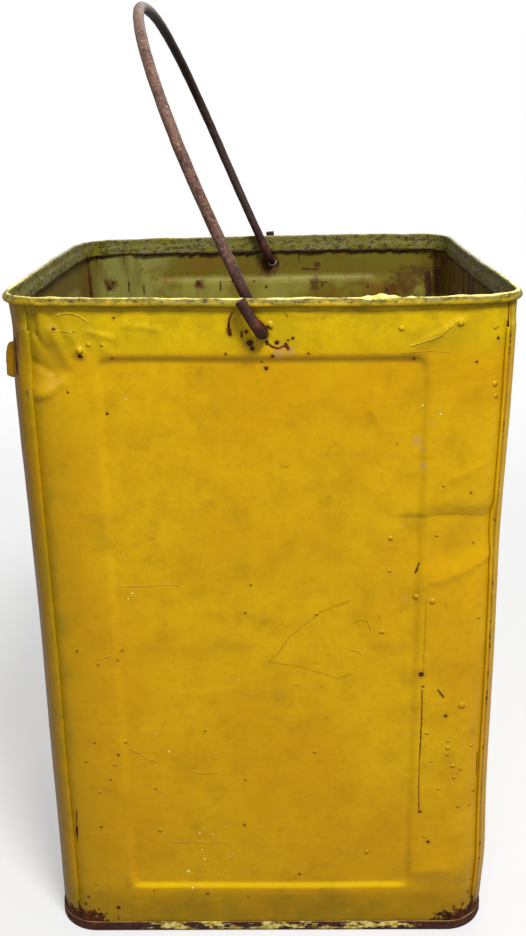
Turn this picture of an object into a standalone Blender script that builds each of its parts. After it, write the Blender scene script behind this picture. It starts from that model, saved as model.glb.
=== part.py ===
"""Rusty square tin bucket: an edible-oil tin with its lid cut out and a wire bail put through it.

The body is two folded sheets, hooked together by a lock seam at each front corner.
The base plate and what is left of the lid are pressed round the ends of the body.
The bail is a bent rod that turns in two punched holes under the rim.
Metres, +Z up, origin on the floor under the middle of the tin, front wall towards -Y.
"""

import math
from collections import namedtuple

import bmesh
import bpy
from mathutils import Vector

# Tin
BODY_WIDTH = 0.233
TIN_HEIGHT = 0.348
CORNER_RADIUS = 0.021
CORNER_STEPS = 6
SHEET = 0.0004
GAP = 0.0003
BEND_RADIUS = 0.0005

# Pressed panel in each wall, as margins from the tin's sides, foot and top
PANEL_SIDE_MARGIN = 0.0410
PANEL_FOOT_MARGIN = 0.0280
PANEL_TOP_MARGIN = 0.0260
PANEL_CORNER = 0.0080
PANEL_SLOPE = 0.0035
PANEL_DEPTH = 0.0014

# Lock seams, each starting a little way round its front corner
LEFT_SEAM_ROUND = 0.0099
RIGHT_SEAM_ROUND = 0.0160
SEAM_WIDTH = 0.0060
SEAM_PROUD = 0.0010
SEAM_JOGGLE = 0.0032
SEAM_END_MARGIN = 0.0120

# Rim: the lid's seam, and the band of lid hammered down inside it
RIM_PROUD = 0.0026
RIM_SEAM_HEIGHT = 0.0050
RIM_CURL_HEIGHT = 0.0011
LID_BAND_HEIGHT = 0.0105
LID_BAND_RAGGED = 0.0012
LID_BAND_LEAN = 0.0006

# How far the rim is bent up or down, in sixteenths of the way round from the middle of the front
RIM_LIFTS = (-0.0005, -0.0009, -0.0002, -0.0001, -0.0009, -0.0006, 0.0, 0.0002,
             0.0, -0.0005, -0.0011, 0.0012, 0.0015, 0.0014, 0.0014, 0.0005)

# Base plate
BASE_SEAM_HEIGHT = 0.0085
BASE_PANEL_RISE = 0.0047
BASE_STEP_WIDTH = 0.0160
BASE_STEP_RUN = 0.0010
BASE_STEP_RISE = 0.0012

# Bail
ROD_RADIUS = 0.0028
HOLE_DROP = 0.0165
HOLE_CLEARANCE = 0.0004
FRONT_HOLE_SHIFT = 0.0006
BACK_HOLE_SHIFT = 0.0040
BAIL_LEG = 0.0600
BAIL_RISE = 0.1545
BAIL_ROUNDNESS = 2.33
BAIL_BOW = 0.0063
BAIL_LEAN = math.radians(24.9)
HOOK_LENGTH = 0.0185
HOOK_CLEARANCE = 0.0005
FRONT_HOOK_TURN = math.radians(-5.5)
BACK_HOOK_TURN = math.radians(21)
ARCH_STEPS = 28
BEND_STEPS = 5

# Flap torn out of the left wall behind the seam
FLAP_HEIGHT = 0.0170
FLAP_PROUD = 0.0024
FLAP_THICKNESS = 0.0012
FLAP_DROP = 0.0265
FLAP_BEHIND_CORNER = 0.0040

# Dents. Each lies at a run counted from the middle of its front corner, -1 left or 1 right.
# A negative depth is a bulge.
Dent = namedtuple("Dent", "corner run height half_run half_height depth")
DENTS = (
    Dent(-1, -0.004, 0.331, 0.013, 0.013, 0.0020),
    Dent(-1, -0.010, 0.210, 0.045, 0.080, 0.0006),
    Dent(1, -0.017, 0.226, 0.013, 0.017, 0.0026),
    Dent(1, 0.012, 0.225, 0.040, 0.055, 0.0014),
    Dent(1, 0.010, 0.048, 0.035, 0.030, -0.0014),
)

# Where the walls bend: shares of the panel's flat across, and of its height
WALL_SHARES = (-0.75, -0.4, 0, 0.4, 0.75)
LEVEL_SHARES = (0.06, 0.15, 0.26, 0.38, 0.50, 0.58, 0.65, 0.71, 0.78, 0.88, 0.96)

# Worked out from the sizes above
HALF = BODY_WIDTH / 2
FLAT = HALF - CORNER_RADIUS
ARC = CORNER_RADIUS * math.pi / 2
WALL_RUN = 2 * FLAT + ARC
ROUND_TRIP = 4 * WALL_RUN
CORNER_MIDDLE = FLAT + ARC / 2
WALL_MIDDLE = -SHEET / 2
LAYER = SHEET + GAP
LAP = LAYER / 2
SEAM_LEG = LAP + LAYER
PANEL_HALF = HALF - PANEL_SIDE_MARGIN
PANEL_TOP = TIN_HEIGHT - PANEL_TOP_MARGIN
HOLE_HEIGHT = TIN_HEIGHT - HOLE_DROP
LEFT_SEAM = -FLAT - LEFT_SEAM_ROUND
RIGHT_SEAM = FLAT + RIGHT_SEAM_ROUND


def turned_to_wall(wall, across, out):
    """Turn a place on the front wall, across and out from the tin's middle, to wall 0 to 3."""
    angle = wall * math.pi / 2
    return Vector((across * math.cos(angle) + out * math.sin(angle),
                   across * math.sin(angle) - out * math.cos(angle)))


def plan(run, out):
    """Place a point by its run round the walls from the middle of the front, and out from them."""
    wall = math.floor((run + FLAT) / WALL_RUN)
    across = run - wall * WALL_RUN
    if across <= FLAT:
        return turned_to_wall(wall, across, HALF + out)
    part = (across - FLAT) / ARC * CORNER_STEPS
    step = min(int(part), CORNER_STEPS - 1)
    reach = CORNER_RADIUS + out
    ends = []
    for angle in (math.pi / 2 * step / CORNER_STEPS, math.pi / 2 * (step + 1) / CORNER_STEPS):
        ends.append(turned_to_wall(wall, FLAT + reach * math.sin(angle), FLAT + reach * math.cos(angle)))
    return ends[0].lerp(ends[1], part - step)


def panel_depth(run, height):
    """Give the depth of the pressed panel, which has rounded corners and sloped edges."""
    across = (run + WALL_RUN / 2) % WALL_RUN - WALL_RUN / 2
    beside = max(abs(across) - (PANEL_HALF - PANEL_CORNER), 0)
    above = max(height - (PANEL_TOP - PANEL_CORNER), PANEL_FOOT_MARGIN + PANEL_CORNER - height, 0)
    inside = PANEL_CORNER - math.hypot(beside, above)
    return PANEL_DEPTH * min(max(inside / PANEL_SLOPE, 0), 1)


def dent_depth(run, height):
    """Add up the dents at a place on the walls."""
    total = 0
    for dent in DENTS:
        middle = dent.corner * CORNER_MIDDLE + dent.run
        away = (run - middle + ROUND_TRIP / 2) % ROUND_TRIP - ROUND_TRIP / 2
        spread = (away / dent.half_run) ** 2 + ((height - dent.height) / dent.half_height) ** 2
        total += dent.depth * math.exp(-spread)
    return total


def rim_lift(run, height):
    """Bend the top unevenly, easing smoothly from each sixteenth of the way round to the next."""
    sixteenth = run / ROUND_TRIP * len(RIM_LIFTS)
    first = math.floor(sixteenth)
    ease = (1 - math.cos(math.pi * (sixteenth - first))) / 2
    before = RIM_LIFTS[first % len(RIM_LIFTS)]
    after = RIM_LIFTS[(first + 1) % len(RIM_LIFTS)]
    return (before + (after - before) * ease) * (height / TIN_HEIGHT) ** 3


def place(run, out, height):
    """Place a point of the tin, with its panels, its dents and the uneven rim."""
    flat = plan(run, out - panel_depth(run, height) - dent_depth(run, height))
    return Vector((flat.x, flat.y, height + rim_lift(run, height)))


def finish(name, colour, roughness, metallic):
    """Make one material."""
    material = bpy.data.materials.new(name)
    material.use_nodes = True
    shader = material.node_tree.nodes["Principled BSDF"]
    shader.inputs["Base Color"].default_value = (*colour, 1)
    shader.inputs["Roughness"].default_value = roughness
    shader.inputs["Metallic"].default_value = metallic
    return material


def fold_blank(columns, levels, where, missing=None):
    """Fold a flat grid into shape, after cutting away the faces that missing names."""
    blank = bmesh.new()
    bmesh.ops.create_grid(blank, x_segments=columns, y_segments=levels, size=0.5)
    column_of = blank.verts.layers.int.new("column")
    level_of = blank.verts.layers.int.new("level")
    for vert in blank.verts:
        vert[column_of] = round((vert.co.x + 0.5) * columns)
        vert[level_of] = round((vert.co.y + 0.5) * levels)
    if missing:
        cut = []
        for face in blank.faces:
            column = min(vert[column_of] for vert in face.verts)
            level = min(vert[level_of] for vert in face.verts)
            if missing(column, level):
                cut.append(face)
        bmesh.ops.delete(blank, geom=cut, context="FACES")
    for vert in blank.verts:
        vert.co = where(vert[column_of], vert[level_of])
    return blank


def sheet_object(name, blank, collection, material):
    """Turn a folded blank into an object, with the sheet's thickness half on each side."""
    mesh = bpy.data.meshes.new(name)
    blank.to_mesh(mesh)
    blank.free()
    mesh.materials.append(material)
    mesh.shade_smooth()
    mesh.set_sharp_from_angle(angle=math.radians(35))
    sheet = bpy.data.objects.new(name, mesh)
    solid = sheet.modifiers.new("thickness", "SOLIDIFY")
    solid.thickness = SHEET
    solid.offset = 0
    solid.use_even_offset = True
    collection.objects.link(sheet)
    return sheet


def cut_or_join(sheet, tool, operation):
    """Cut the sheet with a tool, or join the tool to it."""
    boolean = sheet.modifiers.new(operation.lower(), "BOOLEAN")
    boolean.operation = operation
    boolean.solver = "EXACT"
    boolean.object = tool


def corner_bends():
    """List the runs at which the corners bend, once round from just before the left front one."""
    runs = []
    for wall in range(-1, 5):
        for step in range(CORNER_STEPS + 1):
            runs.append(wall * WALL_RUN + FLAT + ARC * step / CORNER_STEPS)
    return runs


def wall_stations(start, end):
    """List the runs at which a stretch of wall bends, between a start and an end."""
    runs = corner_bends()
    for wall in range(-1, 5):
        middle = wall * WALL_RUN
        for share in WALL_SHARES:
            runs.append(middle + share * (PANEL_HALF - PANEL_SLOPE))
        for edge in (PANEL_HALF - PANEL_SLOPE, PANEL_HALF):
            runs += [middle - edge, middle + edge]
    return sorted(run for run in runs if start < run < end)


def body_levels():
    """List the heights at which the walls bend, from the foot to the top."""
    low = PANEL_FOOT_MARGIN + PANEL_SLOPE
    high = PANEL_TOP - PANEL_SLOPE
    levels = [LAYER, BASE_SEAM_HEIGHT + GAP, SEAM_END_MARGIN, SEAM_END_MARGIN + SEAM_JOGGLE,
              PANEL_FOOT_MARGIN, low, high, PANEL_TOP, HOLE_HEIGHT,
              TIN_HEIGHT - SEAM_END_MARGIN - SEAM_JOGGLE, TIN_HEIGHT - SEAM_END_MARGIN + SEAM_JOGGLE,
              TIN_HEIGHT - LAYER]
    for share in LEVEL_SHARES:
        levels.append(low + share * (high - low))
    return sorted(levels)


def hooked(height):
    """Say how fully the lock seams are hooked at a height: 1 along the wall, 0 near the ends."""
    from_end = min(height, TIN_HEIGHT - height) - SEAM_END_MARGIN
    return min(max(from_end / SEAM_JOGGLE, 0), 1)


def with_corner_bends(points):
    """Add a point to a (run, out) line wherever it passes one of the corners' bends."""
    line = [points[0]]
    for (run, out), (next_run, next_out) in zip(points, points[1:]):
        passed = [bend for bend in corner_bends()
                  if min(run, next_run) + GAP / 2 < bend < max(run, next_run) - GAP / 2]
        for bend in sorted(passed, reverse=next_run < run):
            line.append((bend, out + (next_out - out) * (bend - run) / (next_run - run)))
        line.append((next_run, next_out))
    return line


def seam_edge(seam, side, wall_points, hook_points):
    """Give a sheet's edge at a seam as (run, out), and how many of its points are in the hook."""
    wall = [(seam + side * along, out) for along, out in wall_points]
    hook = [(seam + side * along, out) for along, out in hook_points]
    line = with_corner_bends(wall)
    whole = line + with_corner_bends([wall[-1]] + hook)[1:]
    return whole, len(whole) - len(line)


def front_edge(seam, side, height):
    """Fold the front sheet's edge: under the rear sheet, out round its end, and back between."""
    low = -LAP + (SEAM_PROUD - SHEET / 2 - 3 * LAYER + LAP) * hooked(height)
    bulge = LAYER * math.sin(math.radians(60))
    wall = [(-2 * LAYER - SEAM_JOGGLE, WALL_MIDDLE), (-2 * LAYER - GAP, low), (SEAM_WIDTH, low)]
    hook = [(SEAM_WIDTH + bulge, low + LAYER / 2), (SEAM_WIDTH + bulge, low + 3 * LAYER / 2),
            (SEAM_WIDTH, low + 2 * LAYER), (2 * LAYER, low + 2 * LAYER)]
    return seam_edge(seam, side, wall, hook)


def rear_edge(seam, side, height):
    """Fold the rear sheet's edge: over the front sheet, in at the seam, and back between."""
    high = LAP + (SEAM_PROUD - SHEET / 2 - LAP) * hooked(height)
    bulge = LAYER * math.sin(math.radians(60))
    wall = [(SEAM_WIDTH + 2 * LAYER + SEAM_JOGGLE, WALL_MIDDLE),
            (SEAM_WIDTH + 2 * LAYER + GAP, high), (0, high)]
    hook = [(-bulge, high - LAYER / 2), (-bulge, high - 3 * LAYER / 2),
            (0, high - 2 * LAYER), (SEAM_WIDTH - 2 * LAYER, high - 2 * LAYER)]
    return seam_edge(seam, side, wall, hook)


def body_sheet(name, edge, start_seam, end_seam, collection, material):
    """Fold one sheet of the body from seam to seam, its hooks cut back near the top and the foot."""
    inward = 1 if edge is front_edge else -1
    levels = body_levels()
    first, first_hook = edge(start_seam, -inward, levels[0])
    last, last_hook = edge(end_seam, inward, levels[0])
    plain = [(run, WALL_MIDDLE) for run in wall_stations(first[0][0] + GAP, last[0][0] - GAP)]
    rows = []
    for height in levels:
        start = edge(start_seam, -inward, height)[0]
        end = edge(end_seam, inward, height)[0]
        rows.append(start[::-1] + plain + end)
    columns = len(rows[0]) - 1

    def where(column, level):
        run, out = rows[level][column]
        return place(run, out, levels[level])

    def missing(column, level):
        in_hook = column < first_hook or column >= columns - last_hook
        return in_hook and min(hooked(levels[level]), hooked(levels[level + 1])) < 1

    return sheet_object(name, fold_blank(columns, len(levels) - 1, where, missing), collection, material)


def rounded(points):
    """Round the sharp corners of a profile with three points each."""
    line = [points[0]]
    for before, corner, after in zip(points, points[1:], points[2:]):
        back = Vector(before) - Vector(corner)
        ahead = Vector(after) - Vector(corner)
        if back.angle(ahead) > math.radians(150):
            line.append(corner)
            continue
        start = Vector(corner) + back.normalized() * min(BEND_RADIUS, back.length / 2)
        end = Vector(corner) + ahead.normalized() * min(BEND_RADIUS, ahead.length / 2)
        middle = Vector(corner).lerp((start + end) / 2, 2 - math.sqrt(2))
        line += [tuple(start), tuple(middle), tuple(end)]
    return line + [points[-1]]


def pressed_ring(profile, ragged=0):
    """Fold a profile of (out, height) points right round the tin, its first edge ragged."""
    runs = wall_stations(-GAP, ROUND_TRIP - GAP)
    runs.append(runs[0] + ROUND_TRIP)
    line = rounded(profile)

    def where(column, level):
        out, height = line[level]
        if level == 0:
            height += ragged * math.sin(11 * (column % (len(runs) - 1)))
        return place(runs[column], out, height)

    ring = fold_blank(len(runs) - 1, len(line) - 1, where)
    bmesh.ops.remove_doubles(ring, verts=ring.verts, dist=0.00001)
    return ring


def make_lid_rim(collection, material):
    """Make what is left of the lid: its seam over the body's top edge, and the band inside."""
    top = TIN_HEIGHT - SHEET / 2
    low = TIN_HEIGHT - RIM_SEAM_HEIGHT + SHEET / 2
    outer = RIM_PROUD - SHEET / 2
    band_foot = TIN_HEIGHT - LID_BAND_HEIGHT
    profile = [(-SEAM_LEG - LID_BAND_LEAN, band_foot),
               (-SEAM_LEG - LID_BAND_LEAN / 2, (band_foot + low) / 2),
               (-SEAM_LEG, low), (-SEAM_LEG, top), (outer, top), (outer, low),
               (SEAM_LEG, low), (SEAM_LEG, low + RIM_CURL_HEIGHT)]
    return sheet_object("lid_rim", pressed_ring(profile, LID_BAND_RAGGED), collection, material)


def make_base(collection, material):
    """Make the base plate: a stepped panel, and a channel that holds the body's foot."""
    floor = SHEET / 2
    step = -SEAM_LEG - BASE_STEP_WIDTH
    profile = [(step - BASE_STEP_RUN, BASE_PANEL_RISE - BASE_STEP_RISE), (step, BASE_PANEL_RISE),
               (-SEAM_LEG, BASE_PANEL_RISE), (-SEAM_LEG, floor), (SEAM_LEG, floor),
               (SEAM_LEG, BASE_SEAM_HEIGHT)]
    plate = pressed_ring(profile)
    panel_edge = [edge for edge in plate.edges if edge.is_boundary
                  and max(vert.co.z for vert in edge.verts) < BASE_PANEL_RISE]
    bmesh.ops.contextual_create(plate, geom=panel_edge)
    bmesh.ops.recalc_face_normals(plate, faces=plate.faces)
    return sheet_object("base_plate", plate, collection, material)


def hook_path(side, turn, reach, bend):
    """Bend one end of the rod: down to the hole, through the wall, and up outside to the cut end."""
    points = []
    for step in range(BEND_STEPS + 1):
        angle = math.pi / 2 * step / BEND_STEPS
        points.append((0, reach - bend * math.cos(angle), bend - bend * math.sin(angle)))
    for step in range(1, BEND_STEPS + 1):
        angle = math.pi / 2 * step / BEND_STEPS
        rise = bend - bend * math.cos(angle)
        points.append((rise * math.sin(turn), reach + bend * math.sin(angle), rise * math.cos(turn)))
    points.append((HOOK_LENGTH * math.sin(turn), reach + bend, HOOK_LENGTH * math.cos(turn)))
    return [(across, side * along, up) for across, along, up in points]


def arch_path(leg):
    """Bend the arch between two legs, a rounded square bowed a little out of its plane."""
    points = []
    for step in range(ARCH_STEPS + 1):
        angle = math.pi * step / ARCH_STEPS
        along = math.copysign(abs(math.cos(angle)) ** (2 / BAIL_ROUNDNESS), -math.cos(angle))
        up = BAIL_LEG + (BAIL_RISE - BAIL_LEG) * math.sin(angle) ** (2 / BAIL_ROUNDNESS)
        points.append((BAIL_BOW * (up / BAIL_RISE) ** 2, leg * along, up))
    return points


def make_bail(collection, material):
    """Bend the bail upright about its own hinge line, then lean it to where it rests."""
    reach = HALF + WALL_MIDDLE
    bend = ROD_RADIUS + RIM_PROUD + HOOK_CLEARANCE + SHEET / 2
    front_hook = hook_path(-1, FRONT_HOOK_TURN, reach, bend)
    back_hook = hook_path(1, BACK_HOOK_TURN, reach, bend)
    path = front_hook[::-1] + arch_path(reach - bend) + back_hook
    curve = bpy.data.curves.new("bail", "CURVE")
    curve.dimensions = "3D"
    curve.bevel_depth = ROD_RADIUS
    curve.bevel_resolution = 3
    curve.use_fill_caps = True
    spline = curve.splines.new("POLY")
    spline.points.add(len(path) - 1)
    for spline_point, point in zip(spline.points, path):
        spline_point.co = (*point, 1)
    spline.use_smooth = True
    curve.materials.append(material)
    bail = bpy.data.objects.new("bail", curve)
    skew = math.atan2(BACK_HOLE_SHIFT - FRONT_HOLE_SHIFT, 2 * reach)
    bail.location = ((FRONT_HOLE_SHIFT + BACK_HOLE_SHIFT) / 2, 0, HOLE_HEIGHT)
    bail.rotation_euler = (0, -BAIL_LEAN, -skew)
    collection.objects.link(bail)


def make_tool(blank, name, collection):
    """Keep a cutting or joining shape out of sight."""
    mesh = bpy.data.meshes.new(name)
    blank.to_mesh(mesh)
    blank.free()
    tool = bpy.data.objects.new(name, mesh)
    tool.display_type = "WIRE"
    tool.hide_render = True
    collection.objects.link(tool)
    return tool


def hole_punch(name, shift, wall_y, collection):
    """Make the punch for one bail hole."""
    radius = ROD_RADIUS + HOLE_CLEARANCE
    punch = bmesh.new()
    bmesh.ops.create_cone(punch, cap_ends=True, segments=20, radius1=radius, radius2=radius,
                          depth=4 * radius)
    tool = make_tool(punch, name, collection)
    tool.location = (shift, wall_y, HOLE_HEIGHT)
    tool.rotation_euler = (math.pi / 2, 0, 0)
    return tool


def flap_shape(collection):
    """Make the flap that stands out of the left wall, its outer ends rounded."""
    height = TIN_HEIGHT - FLAP_DROP
    root = place(3 * WALL_RUN + FLAT - FLAP_BEHIND_CORNER, WALL_MIDDLE, height)
    length = HALF + FLAP_PROUD + root.x
    block = bmesh.new()
    bmesh.ops.create_cube(block, size=1)
    bmesh.ops.scale(block, vec=(length, FLAP_THICKNESS, FLAP_HEIGHT), verts=block.verts)
    outer_ends = [edge for edge in block.edges
                  if all(vert.co.x < 0 for vert in edge.verts)
                  and abs(edge.verts[0].co.z - edge.verts[1].co.z) < SHEET]
    bmesh.ops.bevel(block, geom=outer_ends, offset=length / 3, segments=3, profile=0.5,
                    affect="EDGES", material=-1)
    tool = make_tool(block, "flap_shape", collection)
    tool.location = (root.x - length / 2, root.y, height)
    return tool


def main():
    for old in list(bpy.data.objects):
        bpy.data.objects.remove(old, do_unlink=True)
    parts = bpy.data.collections.new("tin_bucket")
    tools = bpy.data.collections.new("cutters")
    for collection in (parts, tools):
        bpy.context.scene.collection.children.link(collection)

    yellow = finish("yellow_paint", (0.53, 0.33, 0.01), 0.45, 0.0)
    side_yellow = finish("yellow_paint_sides", (0.50, 0.31, 0.01), 0.45, 0.0)
    front = body_sheet("front_sheet", front_edge, LEFT_SEAM, RIGHT_SEAM, parts, yellow)
    rear = body_sheet("rear_sheet", rear_edge, RIGHT_SEAM, LEFT_SEAM + ROUND_TRIP, parts, side_yellow)
    make_lid_rim(parts, finish("worn_rim", (0.42, 0.40, 0.25), 0.45, 0.6))
    make_base(parts, finish("rusted_base", (0.13, 0.06, 0.03), 0.8, 0.2))
    make_bail(parts, finish("rusted_rod", (0.15, 0.08, 0.05), 0.75, 0.3))

    cut_or_join(front, hole_punch("front_hole", FRONT_HOLE_SHIFT, -HALF, tools), "DIFFERENCE")
    cut_or_join(rear, hole_punch("back_hole", BACK_HOLE_SHIFT, HALF, tools), "DIFFERENCE")
    cut_or_join(rear, flap_shape(tools), "UNION")


main()
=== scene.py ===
"""Looks of the rusty square tin bucket: folded walls, rim, base, bail and their worn finishes.

Lengths are in metres, except in the tables of marks, which are in millimetres. A place on the
walls is given by its run round them, from the middle of the front wall towards +X, how far it is
out from them, and its height.
"""

import math
from collections import namedtuple

import bmesh
import bpy
from mathutils import Matrix, Vector, noise


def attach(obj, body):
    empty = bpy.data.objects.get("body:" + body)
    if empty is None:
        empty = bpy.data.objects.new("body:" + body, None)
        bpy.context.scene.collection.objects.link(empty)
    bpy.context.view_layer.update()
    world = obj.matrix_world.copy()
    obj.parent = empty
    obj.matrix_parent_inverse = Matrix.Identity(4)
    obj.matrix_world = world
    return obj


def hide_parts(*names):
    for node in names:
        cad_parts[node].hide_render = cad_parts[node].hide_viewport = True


MM = 0.001

# Tin: the frame's sizes, but with seams and slopes as fine as the photograph shows them
BODY_WIDTH = 0.233
TIN_HEIGHT = 0.348
CORNER_RADIUS = 0.021
SHEET = 0.0004
GAP = 0.0001
PANEL_SIDE_MARGIN = 0.0410
PANEL_FOOT_MARGIN = 0.0280
PANEL_TOP_MARGIN = 0.0260
PANEL_CORNER = 0.0080
PANEL_SLOPE = 0.0028
PANEL_DEPTH = 0.0014
LEFT_SEAM_ROUND = 0.0099
RIGHT_SEAM_ROUND = 0.0160
SEAM_WIDTH = 0.0060
SEAM_PROUD = 0.0010
SEAM_JOGGLE = 0.0032
SEAM_END_MARGIN = 0.0120
RIM_PROUD = 0.0026
RIM_SEAM_HEIGHT = 0.0039
RIM_ROUND = 0.0008
LID_BAND_HEIGHT = 0.0105
LID_BAND_LEAN = 0.0006
RIM_LIFTS = (-0.0005, -0.0009, -0.0002, -0.0001, -0.0009, -0.0006, 0.0, 0.0002,
             0.0, -0.0005, -0.0011, 0.0012, 0.0015, 0.0014, 0.0014, 0.0005)
BASE_SEAM_HEIGHT = 0.0060
BASE_ROUND = 0.0006
BASE_PANEL_RISE = 0.0047
BASE_STEP_WIDTH = 0.0160
BASE_STEP_RUN = 0.0010
BASE_STEP_RISE = 0.0012

# Bail: the frame's sizes, but with the rod a little thinner, as the photograph shows it
ROD_RADIUS = 0.00265
HOLE_DROP = 0.0165
HOLE_CLEARANCE = 0.00015
FRONT_HOLE_SHIFT = 0.0006
BACK_HOLE_SHIFT = 0.0040
BAIL_LEG = 0.0600
BAIL_RISE = 0.1545
BAIL_ROUNDNESS = 2.33
BAIL_BOW = 0.0063
BAIL_LEAN = math.radians(24.9)
HOOK_LENGTH = 0.0185
HOOK_CLEARANCE = 0.0005
FRONT_HOOK_TURN = math.radians(-5.5)
BACK_HOOK_TURN = math.radians(21)

# Flap torn out of the left wall, as low as the photograph shows it
FLAP_HEIGHT = 0.0170
FLAP_REACH = 0.0036
FLAP_DROP = 0.0315
FLAP_BEHIND_CORNER = -0.0035

# How finely the pieces are made: lengths between points, and counts of points
FRONT_STEP = 0.0015
REAR_STEP = 0.0028
RING_STEP = 0.0013
ROD_SIDES = 10
LEG_STEP = 0.003
HOLE_STEP = 0.0009
HOLE_STEPS = 4
ARCH_STEPS = 150
BEND_STEPS = 10
BAND_STEPS = 9
ROUND_STEPS = 3
FLAP_COLUMNS = 6
FLAP_LEVELS = 18

# Points closer than the weld become one, and faces that meet at more than these angles show an edge
WELD = 0.00001
SHEET_SHARP = math.radians(50)
ROD_SHARP = math.radians(60)

# Two lines of a profile that meet at more than this angle count as straight
STRAIGHT = math.radians(150)

# Camera, fitted to the photograph, and how far the floor reaches from the middle
IMAGE_LONG_SIDE = 936
CAMERA_PLACE = (0.00765, -0.56274, 0.42465)
CAMERA_YAW = math.radians(1.0)
CAMERA_PITCH = math.radians(19.263)
CAMERA_ROLL = math.radians(-0.948)
FOCAL_PIXELS = 1020.4
SENSOR = 36
FLOOR_HALF = 6

# Dents of the frame: corner -1 left or 1 right, run from its middle, height, half sizes, depth
Dent = namedtuple("Dent", "corner run height half_run half_height depth")
DENTS = (
    Dent(-1, -0.004, 0.331, 0.013, 0.013, 0.0020),
    Dent(-1, -0.010, 0.210, 0.045, 0.080, 0.0006),
    Dent(1, -0.017, 0.226, 0.013, 0.017, 0.0026),
    Dent(1, 0.012, 0.225, 0.040, 0.055, 0.0014),
    Dent(1, 0.010, 0.048, 0.035, 0.030, -0.0014),
    # Smaller ones, which the frame leaves out
    Dent(-1, 0.016, 0.315, 0.013, 0.010, 0.0020),
    Dent(-1, 0.009, 0.338, 0.0035, 0.008, 0.0012),
    Dent(-1, 0.014, 0.334, 0.0025, 0.007, -0.0006),
    Dent(-1, 0.024, 0.331, 0.006, 0.005, -0.0008),
    Dent(-1, 0.030, 0.3235, 0.0024, 0.0022, -0.0013),
    Dent(-1, 0.036, 0.3270, 0.0016, 0.0012, -0.0006),
    Dent(-1, 0.042, 0.3255, 0.0020, 0.0014, -0.0006),
    Dent(1, -0.020, 0.040, 0.014, 0.011, -0.0016),
    Dent(1, -0.036, 0.332, 0.016, 0.006, -0.0006),
    Dent(1, -0.024, 0.336, 0.0020, 0.0016, -0.0006),
    Dent(1, 0.090, 0.120, 0.030, 0.040, 0.0010),
    Dent(-1, -0.085, 0.260, 0.030, 0.030, 0.0012),
)

# Creases in the front wall, in millimetres: ends, how wide each side is, how deep
Crease = namedtuple("Crease", "start end above below depth")
CREASES = (
    Crease((80, 243.5), (112, 242), 7, 30, 1.5),
    Crease((84, 209), (112, 221), 12, 3, -0.8),
    Crease((66, 325), (87, 336.5), 2.0, 5, -0.8),
    Crease((-93, 333), (-87, 318), 4, 4, -0.9),
    Crease((-101, 344), (-101, 331), 2.2, 2.2, 0.8),
    Crease((-101, 331), (-96, 324), 2.0, 2.0, 0.9),
    Crease((-106, 303), (-99, 303.5), 7, 3, -1.0),
    Crease((-99, 303.5), (-90, 309), 6, 3, -0.9),
    Crease((-90, 340), (-82, 340.8), 0.9, 0.9, -0.35),
    Crease((-82, 340.8), (-77, 337.5), 0.9, 0.9, -0.35),
    Crease((-93, 340), (-88, 330), 2.0, 3.0, 0.9),
    Crease((-84, 331), (-80, 322), 2.4, 2.0, -0.8),
    Crease((-76, 333), (-66, 330), 2.0, 2.6, -0.6),
    Crease((-104, 318), (-94, 314), 3.0, 2.2, 0.8),
    Crease((-60, 336), (-46, 334), 2.2, 3.0, -0.5),
    Crease((14, 341), (24, 340), 1.8, 2.4, -0.5),
    Crease((88, 262), (100, 268), 3.0, 3.0, -0.5),
    Crease((52, 305), (50, 296), 2.2, 2.2, -0.6),
    Crease((50, 296), (54, 288), 2.0, 2.4, -0.6),
    Crease((79, 39), (92, 42), 5, 6, -0.7),
    Crease((-60, 203), (60, 201), 26, 26, 0.35),
    Crease((-20, 120), (60, 126), 30, 30, 0.3),
)

# Lumps of paint on the rim, in millimetres: run, how far below the crest, radius, height
RIM_LUMPS = ((-60.5, 2.2, 1.9, 1.0), (-47, 2.4, 1.5, 0.9), (-64, 2.8, 1.2, 0.5), (47, 0.3, 3.0, 0.7),
             (53, 0, 3.4, 1.7), (58.5, 0.2, 2.6, 0.9), (66, 0.8, 1.8, 0.9), (70, 1.0, 1.2, 0.7),
             (-92, 1.5, 4, 0.5), (20, 1.5, 5, 0.4), (87, 1.2, 4, 0.4))

# Marks in the front wall's paint, in millimetres: run, height, radius
RUST_SPOTS = (
    (-99, 22, 0.7), (-101, 17, 0.9), (-97, 12, 0.8), (-108, 16, 1.3), (-105, 13, 1.6), (105, 15, 0.9),
    (101, 12, 1.0), (96, 11, 0.8), (108, 22, 0.7), (109, 30, 0.5), (-12, 22, 0.4), (-63, 26, 0.4),
    (77, 159, 1.3), (78, 152, 0.5), (-94, 173, 0.5), (-84, 165, 0.45), (-32, 126, 0.5), (-89, 120, 0.45),
    (-77, 113, 0.5), (-82, 98, 0.45), (-59, 91, 0.5), (-12, 96, 0.5), (-13, 68, 0.65), (-89, 68, 0.5),
    (-83, 15, 1.0), (-94, 14, 0.6), (-103, 11, 2.0), (-34, 24, 0.7), (-10, 193, 0.5), (-7, 208, 0.45),
    (90, 135, 0.8), (79, 77, 0.7), (84, 58, 0.8), (16, 36, 0.6), (68, 320, 0.65), (96, 318, 0.5),
    (106, 328, 0.7), (97, 255, 0.5), (101, 228, 0.45), (-81, 322, 1.0), (-65, 339, 0.5),
    (-105, 305, 0.7), (-88, 305, 0.5), (-71, 295, 0.6), (-92, 334, 0.7), (-67, 321, 0.5), (7, 328, 0.95),
    (12, 329, 0.5), (14, 330, 0.6), (5, 322, 0.8), (0, 319, 0.45), (2, 316, 0.9), (-16, 323, 0.5),
    (21, 323, 0.5), (-5, 328, 1.5), (-4, 325.5, 1.0), (-6.5, 333, 0.7), (52, 348, 1.2),
)
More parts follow.
